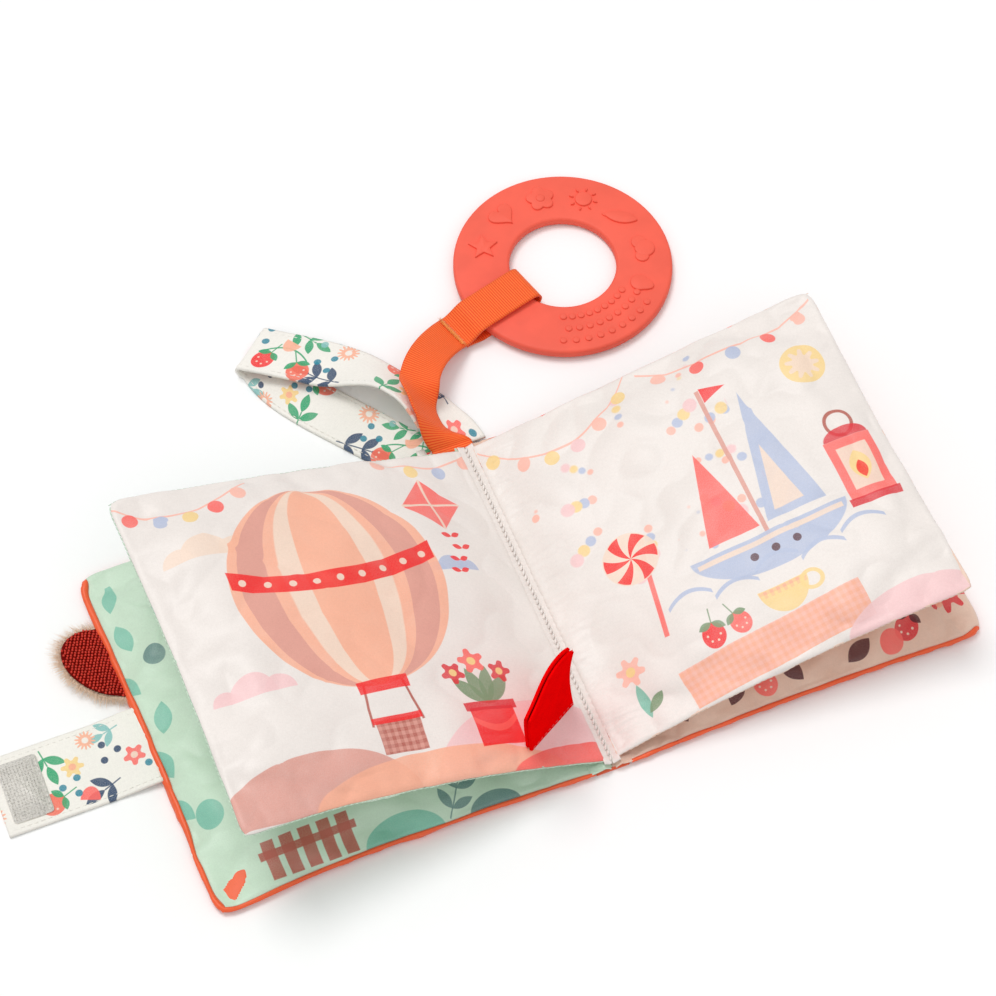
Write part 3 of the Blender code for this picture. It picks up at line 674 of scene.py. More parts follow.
def floral_print() -> tuple[Motif, ...]:
    """The straps' cotton: flowers, berries and leaf sprays, in a tile of 90 by 40 mm."""
    page = Design()
    page.sprig(Ink.NAVY, -38, -9, 12, 8)
    page.sprig(Ink.EMERALD, -9, 12, 200, 7)
    page.sprig(Ink.NAVY, 13, 8, 20, 8, 1)
    page.sprig(Ink.PALE_TEAL, 8, -11, 12, 6.5, 1)
    page.sprig(Ink.EMERALD, 36, -12, 100, 8, 1)
    page.put(Shape.SWAG, Ink.EMERALD, -12, -1, 9, 4, 180, 0.35)
    page.berry(Ink.BERRY, -20, -6, 4.3, 60, Ink.EMERALD)
    page.berry(Ink.RED, -6, -4, 4.1, 110, Ink.EMERALD)
    page.berry(Ink.BERRY, 37, 9, 4.4, 200, Ink.EMERALD)
    page.flower(Ink.APRICOT, -33, 7, 4.0, 14, Ink.COTTON)
    page.flower(Ink.CORAL, 6, 2, 3.9, 5, Ink.CREAM)
    page.flower(Ink.YELLOW, 27, -2, 4.0, 6, Ink.APRICOT)
    page.flower(Ink.APRICOT, 20, -10, 3.6, 14, Ink.COTTON)
    page.put(Shape.DOME, Ink.APRICOT, -13, 6, 3.2, 4.6, 200)
    page.put(Shape.DOME, Ink.CORAL, 25, 12, 3.4, 5.0, 160)
    trios = (
        (Ink.TEAL, -28, 0), (Ink.PALE_TEAL, -25, 11), (Ink.TEAL, -1, 7),
        (Ink.NAVY, 14, -3), (Ink.TEAL, 29, 5),
    )
    for number, (ink, x, y) in enumerate(trios):
        for step in range(3):
            page.spot(ink, *onward(x, y, math.degrees(number + 2.1 * step), 3.4), 1.3)
    return tuple(page.motifs)


def principled(name: str, **constants: float) -> tuple[bpy.types.Material, Graph, bpy.types.Node]:
    """Starts a material.

    Args:
        name: What it is called.
        constants: Numbers for the shader's own sockets, with _ for a space in a socket's name.

    Returns:
        The material, its graph and its shader.
    """
    made = bpy.data.materials.new(name)
    made.use_nodes = True
    shader = made.node_tree.nodes["Principled BSDF"]
    for socket, value in constants.items():
        shader.inputs[socket.replace("_", " ")].default_value = value
    return made, Graph(made.node_tree), shader


def raise_by(graph: Graph, shader: bpy.types.Node, height: object, distance: float) -> None:
    """Lets a height, from 0 to about 1, stand out of a surface by a distance in metres."""
    bump = graph.node("ShaderNodeBump")
    bump.inputs["Distance"].default_value = distance
    graph.feed(bump.inputs["Height"], height)
    graph.feed(shader.inputs["Normal"], bump.outputs["Normal"])


def cloth_place(graph: Graph) -> bpy.types.NodeSocket:
    """Where on its cloth a point is, in millimetres."""
    return graph.node("ShaderNodeAttribute", attribute_name=CLOTH_PLACE).outputs["Vector"]


def object_place(graph: Graph) -> bpy.types.NodeSocket:
    """Where on the object a point is, in millimetres."""
    found = graph.node("ShaderNodeTexCoord").outputs["Object"]
    return graph.vector("DIVIDE", found, (MILLIMETRE,) * 3)


@dataclass(frozen=True)
class Cloth:
    """A woven cloth, plain or printed. Its thread pitch is in millimetres."""

    name: str
    ink: Ink
    slot: str
    gloss: float = 0.46
    sheen: float = 0.25
    pitch: float = 0.34
    relief: float = 0.00003
    motifs: tuple[Motif, ...] = ()
    repeat: tuple[float, float] | None = None

    def material(self, shop: PrintShop) -> bpy.types.Material:
        """Makes its material.

        Args:
            shop: The print shop, which holds the groups.

        Returns:
            The material.
        """
        made, graph, shader = principled(self.name, Sheen_Weight=self.sheen, Sheen_Roughness=0.4)
        place = cloth_place(graph)
        printed = place
        if self.repeat:
            wide, high = self.repeat[0] / 2, self.repeat[1] / 2
            printed = graph.vector("WRAP", place, (wide, high, 1.0), (-wide, -high, 0.0))
        colour = shop.print_on(graph, printed, self.ink.value, self.motifs)
        hand = graph.group(shop.hand, Place=place, Colour=colour, Pitch=self.pitch, Gloss=self.gloss)
        graph.feed(shader.inputs["Base Color"], hand.outputs["Colour"])
        graph.feed(shader.inputs["Roughness"], hand.outputs["Roughness"])
        raise_by(graph, shader, hand.outputs["Height"], self.relief)
        return made


@dataclass(frozen=True)
class Fibre:
    """A thread, pile, felt, fur or wadding, whose colour varies along and between its strands."""

    name: str
    ink: Ink
    slot: str
    rough: float = 0.85
    sheen: float = 0.4
    grain: float = 1.6
    depth: float = 0.0001
    variety: float = 0.14
    gloss: float = 0.5

    def material(self, shop: PrintShop) -> bpy.types.Material:
        """Makes its material.

        Args:
            shop: The print shop, whose press gives the fibres their unevenness.

        Returns:
            The material.
        """
        made, graph, shader = principled(
            self.name, Roughness=self.rough, Sheen_Weight=self.sheen, Specular_IOR_Level=self.gloss
        )
        place = object_place(graph)
        fine = graph.cloud(place, self.grain, 4.0)
        broad = graph.cloud(place, self.grain / 12, 2.0)
        tone = graph.math(
            "ADD",
            graph.span(fine, 0.3, 0.7, 1 - self.variety, 1 + self.variety / 3),
            graph.span(broad, 0.3, 0.7, -self.variety / 3, self.variety / 3),
        )
        press = graph.group(shop.press, Place=place).outputs["Strength"]
        tone = graph.math("MULTIPLY", tone, graph.span(press, 0.8, 1.0, 0.96, 1.0))
        graph.feed(shader.inputs["Base Color"], graph.toned(self.ink.value, tone))
        raise_by(graph, shader, fine, self.depth)
        return made


@dataclass(frozen=True)
class Grosgrain:
    """Ribbed ribbon: its ribs are in the mesh; its warp threads, sheen, and the painted shade in the rib
    valleys and painted light on the rib crests are here.
    """

    name: str = "orange_grosgrain"
    slot: str = "grosgrain"
    warp_pitch: float = 0.35
    relief: float = 0.00003

    def material(self, shop: PrintShop) -> bpy.types.Material:
        """Makes its material.

        Args:
            shop: The print shop, which holds the cloth's hand.

        Returns:
            The material.
        """
        made, graph, shader = principled(self.name, Sheen_Weight=0.1, Specular_IOR_Level=0.25)
        place = cloth_place(graph)
        along, across, _ = graph.split(place)
        turns = graph.math("MULTIPLY", along, math.tau / (RIB_PITCH / MILLIMETRE))
        # Painted shade in each rib's valley and painted light on its crest, over the ribs that the mesh
        # already has.
        painted_light_share = graph.span(graph.math("COSINE", turns), -1.0, 0.2, 0.0, 1.0)
        colour = graph.mix(painted_light_share, Ink.RIB_PAINTED_SHADE.value, Ink.RIB_PAINTED_LIGHT.value)
        hand = graph.group(shop.hand, Place=place, Colour=colour, Pitch=0.3, Gloss=0.5)
        graph.feed(shader.inputs["Base Color"], hand.outputs["Colour"])
        graph.feed(shader.inputs["Roughness"], hand.outputs["Roughness"])
        warp = graph.math("SINE", graph.math("MULTIPLY", across, math.tau / self.warp_pitch))
        raise_by(graph, shader, graph.span(warp, -1.0, 1.0, 0.0, 1.0), self.relief)
        return made


@dataclass(frozen=True)
class Moulded:
    """Moulded rubber or plastic with a fine matt skin."""

    name: str
    ink: Ink
    slot: str
    rough: float = 0.52
    alpha: float = 1.0
    speckle: float = 0.0

    def material(self, shop: PrintShop) -> bpy.types.Material:
        """Makes its material.

        Args:
            shop: The print shop, whose press gives the skin its unevenness.

        Returns:
            The material.
        """
        made, graph, shader = principled(self.name, Alpha=self.alpha, Specular_IOR_Level=0.4)
        place = object_place(graph)
        skin = graph.cloud(place, 5.0, 2.0)
        cloudy = graph.cloud(place, 0.09, 2.0)
        tone = graph.span(cloudy, 0.3, 0.7, 0.95, 1.03)
        if self.speckle:
            specks = graph.span(graph.cloud(place, 1.1, 3.0), 0.5, 0.62, 1.0, 1.0 - self.speckle)
            tone = graph.math("MULTIPLY", tone, specks)
        graph.feed(shader.inputs["Base Color"], graph.toned(self.ink.value, tone))
        press = graph.group(shop.press, Place=place).outputs["Strength"]
        graph.feed(shader.inputs["Roughness"], graph.span(press, 0.8, 1.0, self.rough + 0.08, self.rough))
        raise_by(graph, shader, skin, 0.00002)
        return made


Finish = Cloth | Fibre | Grosgrain | Moulded


@dataclass
class Workroom:
    """Keeps the materials, and turns finished meshes into pieces of the book."""

    shop: PrintShop
    cut: dict[str, bpy.types.Material] = field(default_factory=dict)

    def material(self, finish: Finish) -> bpy.types.Material:
        """The material of a finish, made once."""
        if finish.name not in self.cut:
            self.cut[finish.name] = finish.material(self.shop)
        return self.cut[finish.name]

    def make(self, name: str, mesh: bmesh.types.BMesh, finish: Finish) -> bpy.types.Object:
        """Makes an object of a finished mesh.

        Args:
            name: What the piece is called.
            mesh: Its mesh, which this uses up.
            finish: Its finish.

        Returns:
            The object.
        """
        data = bpy.data.meshes.new(name)
        for face in mesh.faces:
            face.material_index = 0
            face.smooth = True
        mesh.to_mesh(data)
        mesh.free()
        data.materials.append(self.material(finish))
        piece = bpy.data.objects.new(name, data)
        bpy.context.scene.collection.objects.link(piece)
        LOG.info("%s: %d faces", name, len(data.polygons))
        return piece

    def dress(
        self, name: str, mesh: bmesh.types.BMesh, finish: Finish, body: str, *nodes: str
    ) -> bpy.types.Object:
        """Makes a piece that rides on a body and stands for nodes of the frame.

        Args:
            name: What the piece is called.
            mesh: Its mesh, which this uses up.
            finish: Its finish.
            body: The body that it rides on.
            nodes: The nodes that it replaces.

        Returns:
            The piece.
        """
        piece = self.make(name, mesh, finish)
        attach(piece, body)
        if nodes:
            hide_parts(*nodes)
        return piece


def place_layer(mesh: bmesh.types.BMesh) -> bmesh.types.BMLayerItem:
    """The layer that keeps where on its cloth each point is."""
    layers = mesh.verts.layers.float_vector
    return layers.get(CLOTH_PLACE) or layers.new(CLOTH_PLACE)


class Pile:
    """Many small shapes in one mesh, made a few dozen at a time: operators are slow in a large one."""

    BATCH = 60

    def __init__(self, ground: bmesh.types.BMesh | None = None) -> None:
        """Starts on a ground mesh, or on nothing."""
        self.whole = ground or bmesh.new()
        self.part = bmesh.new()
        self.count = 0

    def stitch(self, middle: Vector, along: Vector, length: float, radius: float) -> None:
        """Lays one stitch, a slim grain of thread.

        Args:
            middle: Its middle.
            along: The way that it runs.
            length: Its length.
            radius: Half its thickness.
        """
        turn = along.to_track_quat("X", "Z").to_matrix().to_4x4()
        size = Matrix.Diagonal((length / 2, radius, radius, 1.0))
        place = Matrix.Translation(middle) @ turn @ size
        bmesh.ops.create_uvsphere(self.part, u_segments=6, v_segments=5, radius=1, matrix=place)
        self.note()

    def hair(self, points: Sequence[Vector], radius: float) -> None:
        """Grows one three-sided hair, which tapers from its root.

        Args:
            points: Its root, bends and tip.
            radius: Half its thickness at the root.
        """
        turn = (points[-1] - points[0]).to_track_quat("Z", "X").to_matrix().to_4x4()
        root = Matrix.Translation(points[0]) @ turn
        made = bmesh.ops.create_circle(self.part, cap_ends=True, segments=3, radius=radius, matrix=root)
        face = made["verts"][0].link_faces[0]
        offsets = [vert.co - points[0] for vert in face.verts]
        for step, point in enumerate(points[1:], 1):
            left = 1 - 0.85 * step / (len(points) - 1)
            face = bmesh.ops.extrude_discrete_faces(self.part, faces=[face])["faces"][0]
            for vert, offset in zip(face.verts, offsets):
                vert.co = point + offset * left
        self.note()

    def note(self) -> None:
        """Counts one more shape, and moves a full batch over."""
        self.count += 1
        if self.count % self.BATCH == 0:
            self.move_over()

    def move_over(self) -> None:
        """Closes the batch's open ends, turns its faces outwards and adds it to the whole."""
        bmesh.ops.holes_fill(self.part, edges=[edge for edge in self.part.edges if edge.is_boundary])
        bmesh.ops.recalc_face_normals(self.part, faces=self.part.faces)
        data = bpy.data.meshes.new("batch")
        self.part.to_mesh(data)
        self.whole.from_mesh(data)
        bpy.data.meshes.remove(data)
        self.part.clear()

    def mesh(self) -> bmesh.types.BMesh:
        """The whole mesh, with the last batch in it."""
        self.move_over()
        self.part.free()
        return self.whole


def smooth(share: float) -> float:
    """Eases a share from 0 to 1."""
    share = min(max(share, 0.0), 1.0)
    return share * share * (3 - 2 * share)


def wave(x: float, y: float, seed: float, size: float) -> float:
    """Smooth noise from about -1 to 1 at a place, with hollows about a size across."""
    return noise.noise(Vector((x / size, y / size, seed)))


def walk(points: Sequence[Vector], pitch: float) -> Iterable[tuple[Vector, Vector]]:
    """Steps along a line of points.

    Args:
        points: The line.
        pitch: The length of a step.

    Yields:
        Each place and the way on from it.
    """
    left = pitch / 2
    for here, there in zip(points, points[1:]):
        way = there - here
        length = way.length
        while left <= length and length > 0:
            yield here + way * (left / length), way.normalized()
            left += pitch
        left -= length


class Edge(Enum):
    """The edges of a padded panel."""

    HINGE = 1
    FORE = 2
    HEAD = 3
    TAIL = 4


@dataclass(frozen=True)
class Gather:
    """How an edge is gathered: creases square to it, with a puff between each two."""

    pitch: float
    depth: float
    reach: float


@dataclass
class PaddedPanel:
    """A leaf or cover: two satins sewn together round wadding and a crinkle film.

    A point on it is given by two shares from -1 to 1: u from its hinge edge to its fore edge, and
    v from its tail to its head.
    """

    body: str
    side: int
    lift: float
    width: float
    height: float
    crown_up: float
    crown_down: float
    upper_name: str
    upper: Cloth
    lower_name: str
    lower: Cloth
    gathers: dict[Edge, Gather]
    hinge_x: float
    hinge_z: float = 0.0
    bow: float = 0.0
    edge_rise: float = 0.0
    laps: dict[Edge, float] = field(default_factory=dict)
    head_skew: float = 0.0
    tail_skew: float = 0.0
    head_power: float = 30.0
    tail_power: float = 30.0
    dent: float = 0.0
    mesh: bmesh.types.BMesh | None = None

    SPOT = "spot"
    ACROSS_CELLS = 34
    ALONG_CELLS = 52
    ACROSS_EVENNESS = 0.3
    ALONG_EVENNESS = 0.5
    SIDE_DRAW_IN = 0.0015
    EDGE_THICKNESS = 0.0019
    ROLL = 0.0015
    CLOTH_THICKNESS = 0.00035
    DENT_DEPTH = 0.0026
    DENT_SIZE = 0.028
    DENT_MARGIN = 0.012
    CREASE_DEPTH = 0.0013
    CREASE_SIZE = 0.015
    CREASE_MARGIN = 0.004
    CORNER_CALM = 0.004
    GROOVE_DEPTH = 0.0004
    GROOVE_SHARE = 0.22
    BEAD_RISE = 0.0003
    BEAD_SHARES = (0.45, 0.4)
    PUCKER_DEPTH = 0.00016
    PUCKER_SIZE = 0.0036
    RIM_SHARE = 0.4
    RIM_MARGIN = 0.004
    SATIN_ROOM = 2.4
    FILL_SHARE = 0.8
    LAYER_ROUND_SHARE = 0.9
    PATCH_SHARES = (0.6, 0.8, 0.2)
    PATCH_SOFTNESS = 0.06
    RIM_FROM = 0.9995
    WADDING_OVER = 0.0013
    WADDING_UNDER = 0.0024
    FILM_UNDER = 0.0022
    FILM_CREASE = 0.0007
    FILM_THICKNESS = 0.00008

    @property
    def seed(self) -> float:
        """Where its noise starts, unlike that of any other panel."""
        return self.side * 3.7 + self.lift * 10

    def outline(self, u: float, v: float) -> tuple[float, float]:
        """How far a point is from the hinge edge, and from the middle along the spine."""
        rounding = 1.0
        reach = max(abs(u), abs(v))
        if u > 0:
            power = self.head_power if v > 0 else self.tail_power
            rounding = ((u / reach) ** power + abs(v / reach) ** power) ** (-1 / power)
        u, v = u * rounding, v * rounding
        outer = max(u, 0) ** 3
        along = self.width / 2 * (1 + u) - self.SIDE_DRAW_IN * max(u, 0) ** 2 * (1 - v * v)
        along += self.head_skew * (1 + v) / 2 * outer
        across = self.height / 2 * v - self.SIDE_DRAW_IN * v * abs(v) * (1 - u * u)
        return along, across - self.tail_skew * (1 - v) / 2 * outer

    def surface(self, u: float, v: float, sense: int) -> float:
        """Height over the panel's plane of its upper side, sense 1, or lower side, sense -1."""
        crown = (1 - abs(u) ** (4 if u > 0 else 2)) * (1 - abs(v) ** 4)
        rise = self.edge_rise * max(max(u, 0), abs(v)) ** 8
        if sense > 0:
            return rise + self.EDGE_THICKNESS + self.crown_up * crown
        return rise - self.crown_down * crown + self.dent * self.patch_share(u, v)

    def patch_share(self, u: float, v: float) -> float:
        """How much of the dent for the loop patch a point has."""
        first, last, half = self.PATCH_SHARES
        inside = min(u - first, last - u, half - abs(v))
        return smooth(1 + inside / self.PATCH_SOFTNESS)

    def place(self, u: float, v: float, height: float) -> Vector:
        """Where a point at a height over the panel's plane is."""
        along, across = self.outline(u, v)
        height += self.bow * math.sin(math.pi * (1 + u) / 2)
        cosine, sine = math.cos(self.lift), math.sin(self.lift)
        x = self.hinge_x + along * cosine - height * sine
        return Vector((self.side * x, across, self.hinge_z + along * sine + height * cosine))

    def top_height(self, x: float, y: float) -> float:
        """Height above the table of the upper side at a place on it."""
        v = y / (self.height / 2)
        u = 0.0
        for _ in range(8):
            height = self.surface(u, v, 1) + self.bow * math.sin(math.pi * (1 + u) / 2)
            along = (self.side * x - self.hinge_x + height * math.sin(self.lift)) / math.cos(self.lift)
            u = 2 * along / self.width - 1
        return self.place(u, v, self.surface(u, v, 1) + self.swell(u, v)).z

    def inset(self, edge: Edge, u: float, v: float) -> float:
        """How far a point is in from an edge."""
        if edge is Edge.HINGE:
            return (1 + u) * self.width / 2
        if edge is Edge.FORE:
            return (1 - u) * self.width / 2
        return (1 - v if edge is Edge.HEAD else 1 + v) * self.height / 2

    def swell(self, u: float, v: float) -> float:
        """How far the broad dents and puffs move the stuffed cloth at a point."""
        return self.puff(*self.outline(u, v), min(self.inset(edge, u, v) for edge in Edge))

    def puff(self, along: float, across: float, rim: float) -> float:
        """The same, given where the point is and how far in from the rim."""
        dents = wave(along, across, self.seed + 11, self.DENT_SIZE)
        return self.DENT_DEPTH * smooth(rim / self.DENT_MARGIN) * dents

    def pillow(self) -> bpy.types.Object:
        """Makes both satins as one closed pillow, rolled over at its edges.

        Returns:
            The pillow, whose rim is a vertex group.
        """
        mesh = bmesh.new()
        spot = mesh.verts.layers.float_vector.new(self.SPOT)
        for sense in (1, -1):
            made = bmesh.ops.create_grid(
                mesh, x_segments=self.ACROSS_CELLS, y_segments=self.ALONG_CELLS, size=1
            )["verts"]
            for vert in made:
                u = self.spread(vert.co.x, self.ACROSS_EVENNESS)
                v = self.spread(vert.co.y, self.ALONG_EVENNESS)
                vert[spot] = (u, v, sense)
                low, high = self.surface(u, v, -1), self.surface(u, v, 1)
                inset = min(self.inset(edge, u, v) for edge in Edge)
                left = max(1 - inset / self.ROLL, 0.0)
                fullness = math.sqrt(max(1 - left * left, 0.0))
                middle = (low + high) / 2
                vert.co = self.place(u, v, middle + sense * (high - low) / 2 * fullness)
                for face in vert.link_faces:
                    face.material_index = 0 if sense > 0 else 1
        bmesh.ops.remove_doubles(mesh, verts=mesh.verts, dist=MILLIMETRE / 1000)
        bmesh.ops.recalc_face_normals(mesh, faces=mesh.faces)
        mesh.verts.index_update()
        reaches = [max(abs(vert[spot].x), abs(vert[spot].y)) for vert in mesh.verts]
        rim = [index for index, reach in enumerate(reaches) if reach > self.RIM_FROM]
        data = bpy.data.meshes.new(f"{self.body}_pillow")
        mesh.to_mesh(data)
        mesh.free()
        pillow = bpy.data.objects.new(data.name, data)
        bpy.context.scene.collection.objects.link(pillow)
        pillow.vertex_groups.new(name="rim").add(rim, 1.0, "REPLACE")
        return pillow

    @staticmethod
    def spread(share: float, evenness: float) -> float:
        """Moves a grid's line towards the edges, where the folds are small."""
        return evenness * share + (1 - evenness) * (1.5 * share - 0.5 * share**3)

    def gather_up(self, pillow: bpy.types.Object) -> None:
        """Rounds the swollen pillow and puts its creases, dents and seams in.

        Args:
            pillow: The pillow, which this uses up.
        """
        rounding = pillow.modifiers.new("rounding", "SUBSURF")
        rounding.levels = rounding.render_levels = 2
        bpy.context.view_layer.update()
        depsgraph = bpy.context.evaluated_depsgraph_get()
        rounded = bpy.data.meshes.new_from_object(pillow.evaluated_get(depsgraph))
        bpy.data.objects.remove(pillow)
        mesh = bmesh.new()
        mesh.from_mesh(rounded)
        bpy.data.meshes.remove(rounded)
        mesh.normal_update()
        spot = mesh.verts.layers.float_vector[self.SPOT]
        place = place_layer(mesh)
        for vert in mesh.verts:
            u, v, sense = vert[spot]
            along, across = self.outline(u, v)
            vert[place] = Vector((self.side * along, across, 0)) / MILLIMETRE
            insets = {edge: self.inset(edge, u, v) for edge in Edge}
            deepest = -self.hollow(u, v, min(insets.values()))
            vert.co += vert.normal * max(self.relief(along, across, insets, sense), deepest)
            if not self.lift:
                vert.co.z = max(vert.co.z, self.dent * self.patch_share(u, v) * (sense < 0))
        for face in mesh.faces:
            if self.lapped([vert[spot] for vert in face.verts]):
                face.material_index = 1
        self.mesh = mesh

    def hollow(self, u: float, v: float, rim: float) -> float:
        """How far each satin can sink at a point before it would meet the other one."""
        left = max(1 - rim / self.ROLL, 0.0)
        fullness = max(math.sqrt(1 - left * left), 0.5)
        apart = fullness * (self.surface(u, v, 1) - self.surface(u, v, -1))
        return max(apart - self.SATIN_ROOM * self.CLOTH_THICKNESS, 0.0) / 2

    def lapped(self, spots: Sequence[Vector]) -> bool:
        """Whether the lower satin laps over a cell of the upper side, given the cell's corners."""
        return any(
            max(self.inset(edge, *spot[:2]) for spot in spots) < lap for edge, lap in self.laps.items()
        )

    def relief(self, along: float, across: float, insets: dict[Edge, float], sense: float) -> float:
        """How far the gathered cloth stands out at a point.

        Args:
            along: How far the point is from the hinge edge.
            across: How far it is from the middle along the spine.
            insets: How far in it is from each edge.
            sense: 1 on the upper side, -1 on the lower.

        Returns:
            The distance.
        """
        rim = min(insets.values())
        total = self.puff(along, across, rim)
        for edge, gather in self.gathers.items():
            run = across if edge in (Edge.HINGE, Edge.FORE) else along
            inset = insets[edge]
            fade = math.exp(-((inset / gather.reach) ** 1.4))
            if fade < 0.01:
                continue
            drift = wave(run, inset * 0.5, self.seed + edge.value, gather.pitch * 2.2)
            phase = run / gather.pitch + 0.9 * drift
            strength = 0.65 + 0.7 * wave(run, 0.0, self.seed - edge.value, gather.pitch * 2.5)
            puff = abs(math.sin(math.pi * phase)) ** 0.6 - 0.85
            flat = self.RIM_SHARE + (1 - self.RIM_SHARE) * smooth(inset / self.RIM_MARGIN)
            total += gather.depth * strength * puff * fade * flat
        fold = wave(along, across, self.seed + 17, self.CREASE_SIZE)
        total += self.CREASE_DEPTH * smooth(rim / self.CREASE_MARGIN) * (abs(fold) ** 0.7 - 0.35)
        if self.laps and sense > 0:
            share = min(insets[edge] / lap for edge, lap in self.laps.items())
            middle, spread = self.BEAD_SHARES
            bead = math.exp(-(((share - middle) / spread) ** 2))
            slant = wave(along + across, (along - across) / 3, self.seed + 29, self.PUCKER_SIZE)
            total -= self.GROOVE_DEPTH * math.exp(-(((share - 1) / self.GROOVE_SHARE) ** 2))
            total += bead * (self.BEAD_RISE + self.PUCKER_DEPTH * slant)
        aside = min(insets[Edge.HINGE], insets[Edge.FORE])
        ahead = min(insets[Edge.HEAD], insets[Edge.TAIL])
        return total * smooth(math.hypot(aside, ahead) / self.CORNER_CALM)

    def rim_line(self) -> list[Vector]:
        """The sewn line round the tail, fore and head edges, from hinge to hinge."""
        spot = self.mesh.verts.layers.float_vector[self.SPOT]
        found = []
        for vert in self.mesh.verts:
            u, v, _ = vert[spot]
            if u < -self.RIM_FROM:
                continue
            if v < -self.RIM_FROM:
                found.append((u, vert.co.copy()))
            elif u > self.RIM_FROM:
                found.append((2 + v, vert.co.copy()))
            elif v > self.RIM_FROM:
                found.append((4 - u, vert.co.copy()))
        return [place for _, place in sorted(found, key=lambda item: item[0])]

    def cut(self, index: int) -> bmesh.types.BMesh:
        """One satin of the panel: 0 is the upper one, 1 the lower."""
        mesh = self.mesh.copy()
        other = [face for face in mesh.faces if face.material_index != index]
        bmesh.ops.delete(mesh, geom=other, context="FACES")
        mesh.verts.layers.float_vector.remove(mesh.verts.layers.float_vector[self.SPOT])
        return mesh

    def dress(self, room: Workroom) -> None:
        """Makes the two satins, the wadding and the crinkle film.

        Args:
            room: The workroom.
        """
        wadding = self.fill_wadding(room)
        film = self.lay_film(room)
        for index, name, finish in ((0, self.upper_name, self.upper), (1, self.lower_name, self.lower)):
            node = f"{self.body}_{name}"
            piece = room.dress(f"{node}_satin", self.cut(index), finish, self.body, node)
            cloth = piece.modifiers.new("thickness", "SOLIDIFY")
            cloth.thickness, cloth.offset = self.CLOTH_THICKNESS, -1.0

    def layer(self, low: Height, high: Height, cells: int) -> bmesh.types.BMesh:
        """A closed layer between two heights, which stops short of the edges.

        Args:
            low: Gives the height of its lower side at a point.
            high: Gives the height of its upper side.
            cells: How many cells it has each way.

        Returns:
            Its mesh.
        """
        mesh = bmesh.new()
        for level in (high, low):
            made = bmesh.ops.create_grid(mesh, x_segments=cells, y_segments=cells, size=1)["verts"]
            for vert in made:
                rim = max(abs(vert.co.x), abs(vert.co.y))
                left = max(rim - self.LAYER_ROUND_SHARE, 0.0) / (1 - self.LAYER_ROUND_SHARE)
                fullness = math.sqrt(max(1 - left * left, 0.0))
                u, v = vert.co.x * self.FILL_SHARE, vert.co.y * self.FILL_SHARE
                middle = (high(u, v) + low(u, v)) / 2
                vert.co = self.place(u, v, middle + (level(u, v) - middle) * fullness)
        bmesh.ops.remove_doubles(mesh, verts=mesh.verts, dist=MILLIMETRE / 1000)
        bmesh.ops.recalc_face_normals(mesh, faces=mesh.faces)
        return mesh

    def fill_wadding(self, room: Workroom) -> bpy.types.Object:
        """Puts the wadding in, and returns it."""
        seed = self.side + self.lift

        def low(u: float, v: float) -> float:
            """Height of its lower side, which stays inside a satin that lies flat on the table."""
            satin = self.surface(u, v, -1)
            height = satin - self.swell(u, v) + self.WADDING_OVER + 0.0003 * wave(u, v, seed, 0.1)
            return height if self.lift else max(height, satin + 2 * self.CLOTH_THICKNESS)

        def high(u: float, v: float) -> float:
            """Height of its upper side."""
            loft = 0.0004 * wave(u, v, seed + 5, 0.12)
            return self.surface(u, v, 1) + self.swell(u, v) - self.WADDING_UNDER + loft

        mesh = self.layer(low, high, 30)
        piece = room.dress(f"{self.body}_wadding_sheet", mesh, WADDING, self.body, f"{self.body}_wadding")
        return piece

    def lay_film(self, room: Workroom) -> bpy.types.Object:
        """Lays the creased crinkle film over the wadding, and returns it."""
        seed = self.side - self.lift

        def high(u: float, v: float) -> float:
            """Height of its upper side, with sharp creases."""
            folded = abs(wave(u, v, seed, 0.09)) + 0.6 * abs(wave(u, v, seed + 3, 0.05))
            crease = self.FILM_CREASE * min(folded, 0.7)
            return self.surface(u, v, 1) + self.swell(u, v) - self.FILM_UNDER + crease

        def low(u: float, v: float) -> float:
            """Height of its lower side."""
            return high(u, v) - self.FILM_THICKNESS

        mesh = self.layer(low, high, 60)
        node = f"{self.body}_crinkle_film"
        return room.dress(f"{node}_sheet", mesh, FILM, self.body, node)


@dataclass
class Stuffing:
    """Swells the pillows in one cloth simulation: their rims are sewn, and their cloth is slack."""

    frames: int = 16
    pressure: float = 3.0
    slack: float = 0.03
    most_out: float = 0.0016
    most_in: float = 0.0003
    hinge_calm: float = 0.03

    def swell(self, panels: Sequence[PaddedPanel], pillows: Sequence[bpy.types.Object]) -> None:
        """Swells the pillows.

        Args:
            panels: The panels.
            pillows: Their pillows, in the same order.
        """
        for pillow in pillows:
            cloth = pillow.modifiers.new("stuffing", "CLOTH")
            settings = cloth.settings
            settings.quality = 4
            settings.mass = 0.15
            settings.tension_stiffness = settings.compression_stiffness = 20
            settings.shear_stiffness = 8
            settings.bending_stiffness = 0.3
            settings.use_pressure = True
            settings.uniform_pressure_force = self.pressure
            settings.shrink_min = -self.slack
            settings.vertex_group_mass = "rim"
            settings.effector_weights.gravity = 0
            cloth.collision_settings.use_collision = False
            cloth.point_cache.frame_start, cloth.point_cache.frame_end = 1, self.frames
        for frame in range(1, self.frames + 1):
            bpy.context.scene.frame_set(frame)
        depsgraph = bpy.context.evaluated_depsgraph_get()
        for panel, pillow in zip(panels, pillows):
            swollen = pillow.evaluated_get(depsgraph).to_mesh()
            moved = [vert.co.copy() for vert in swollen.vertices]
            pillow.evaluated_get(depsgraph).to_mesh_clear()
            pillow.modifiers.clear()
            spots = pillow.data.attributes[panel.SPOT].data
            for vert, there, spot in zip(pillow.data.vertices, moved, spots):
                step = there - vert.co
                most = self.most_out if step.dot(vert.normal) > 0 else self.most_in
                calm = smooth(panel.inset(Edge.HINGE, *spot.vector[:2]) / self.hinge_calm)
                if step.length > most:
                    step *= most / step.length
                vert.co += step * calm
        bpy.context.scene.frame_set(1)


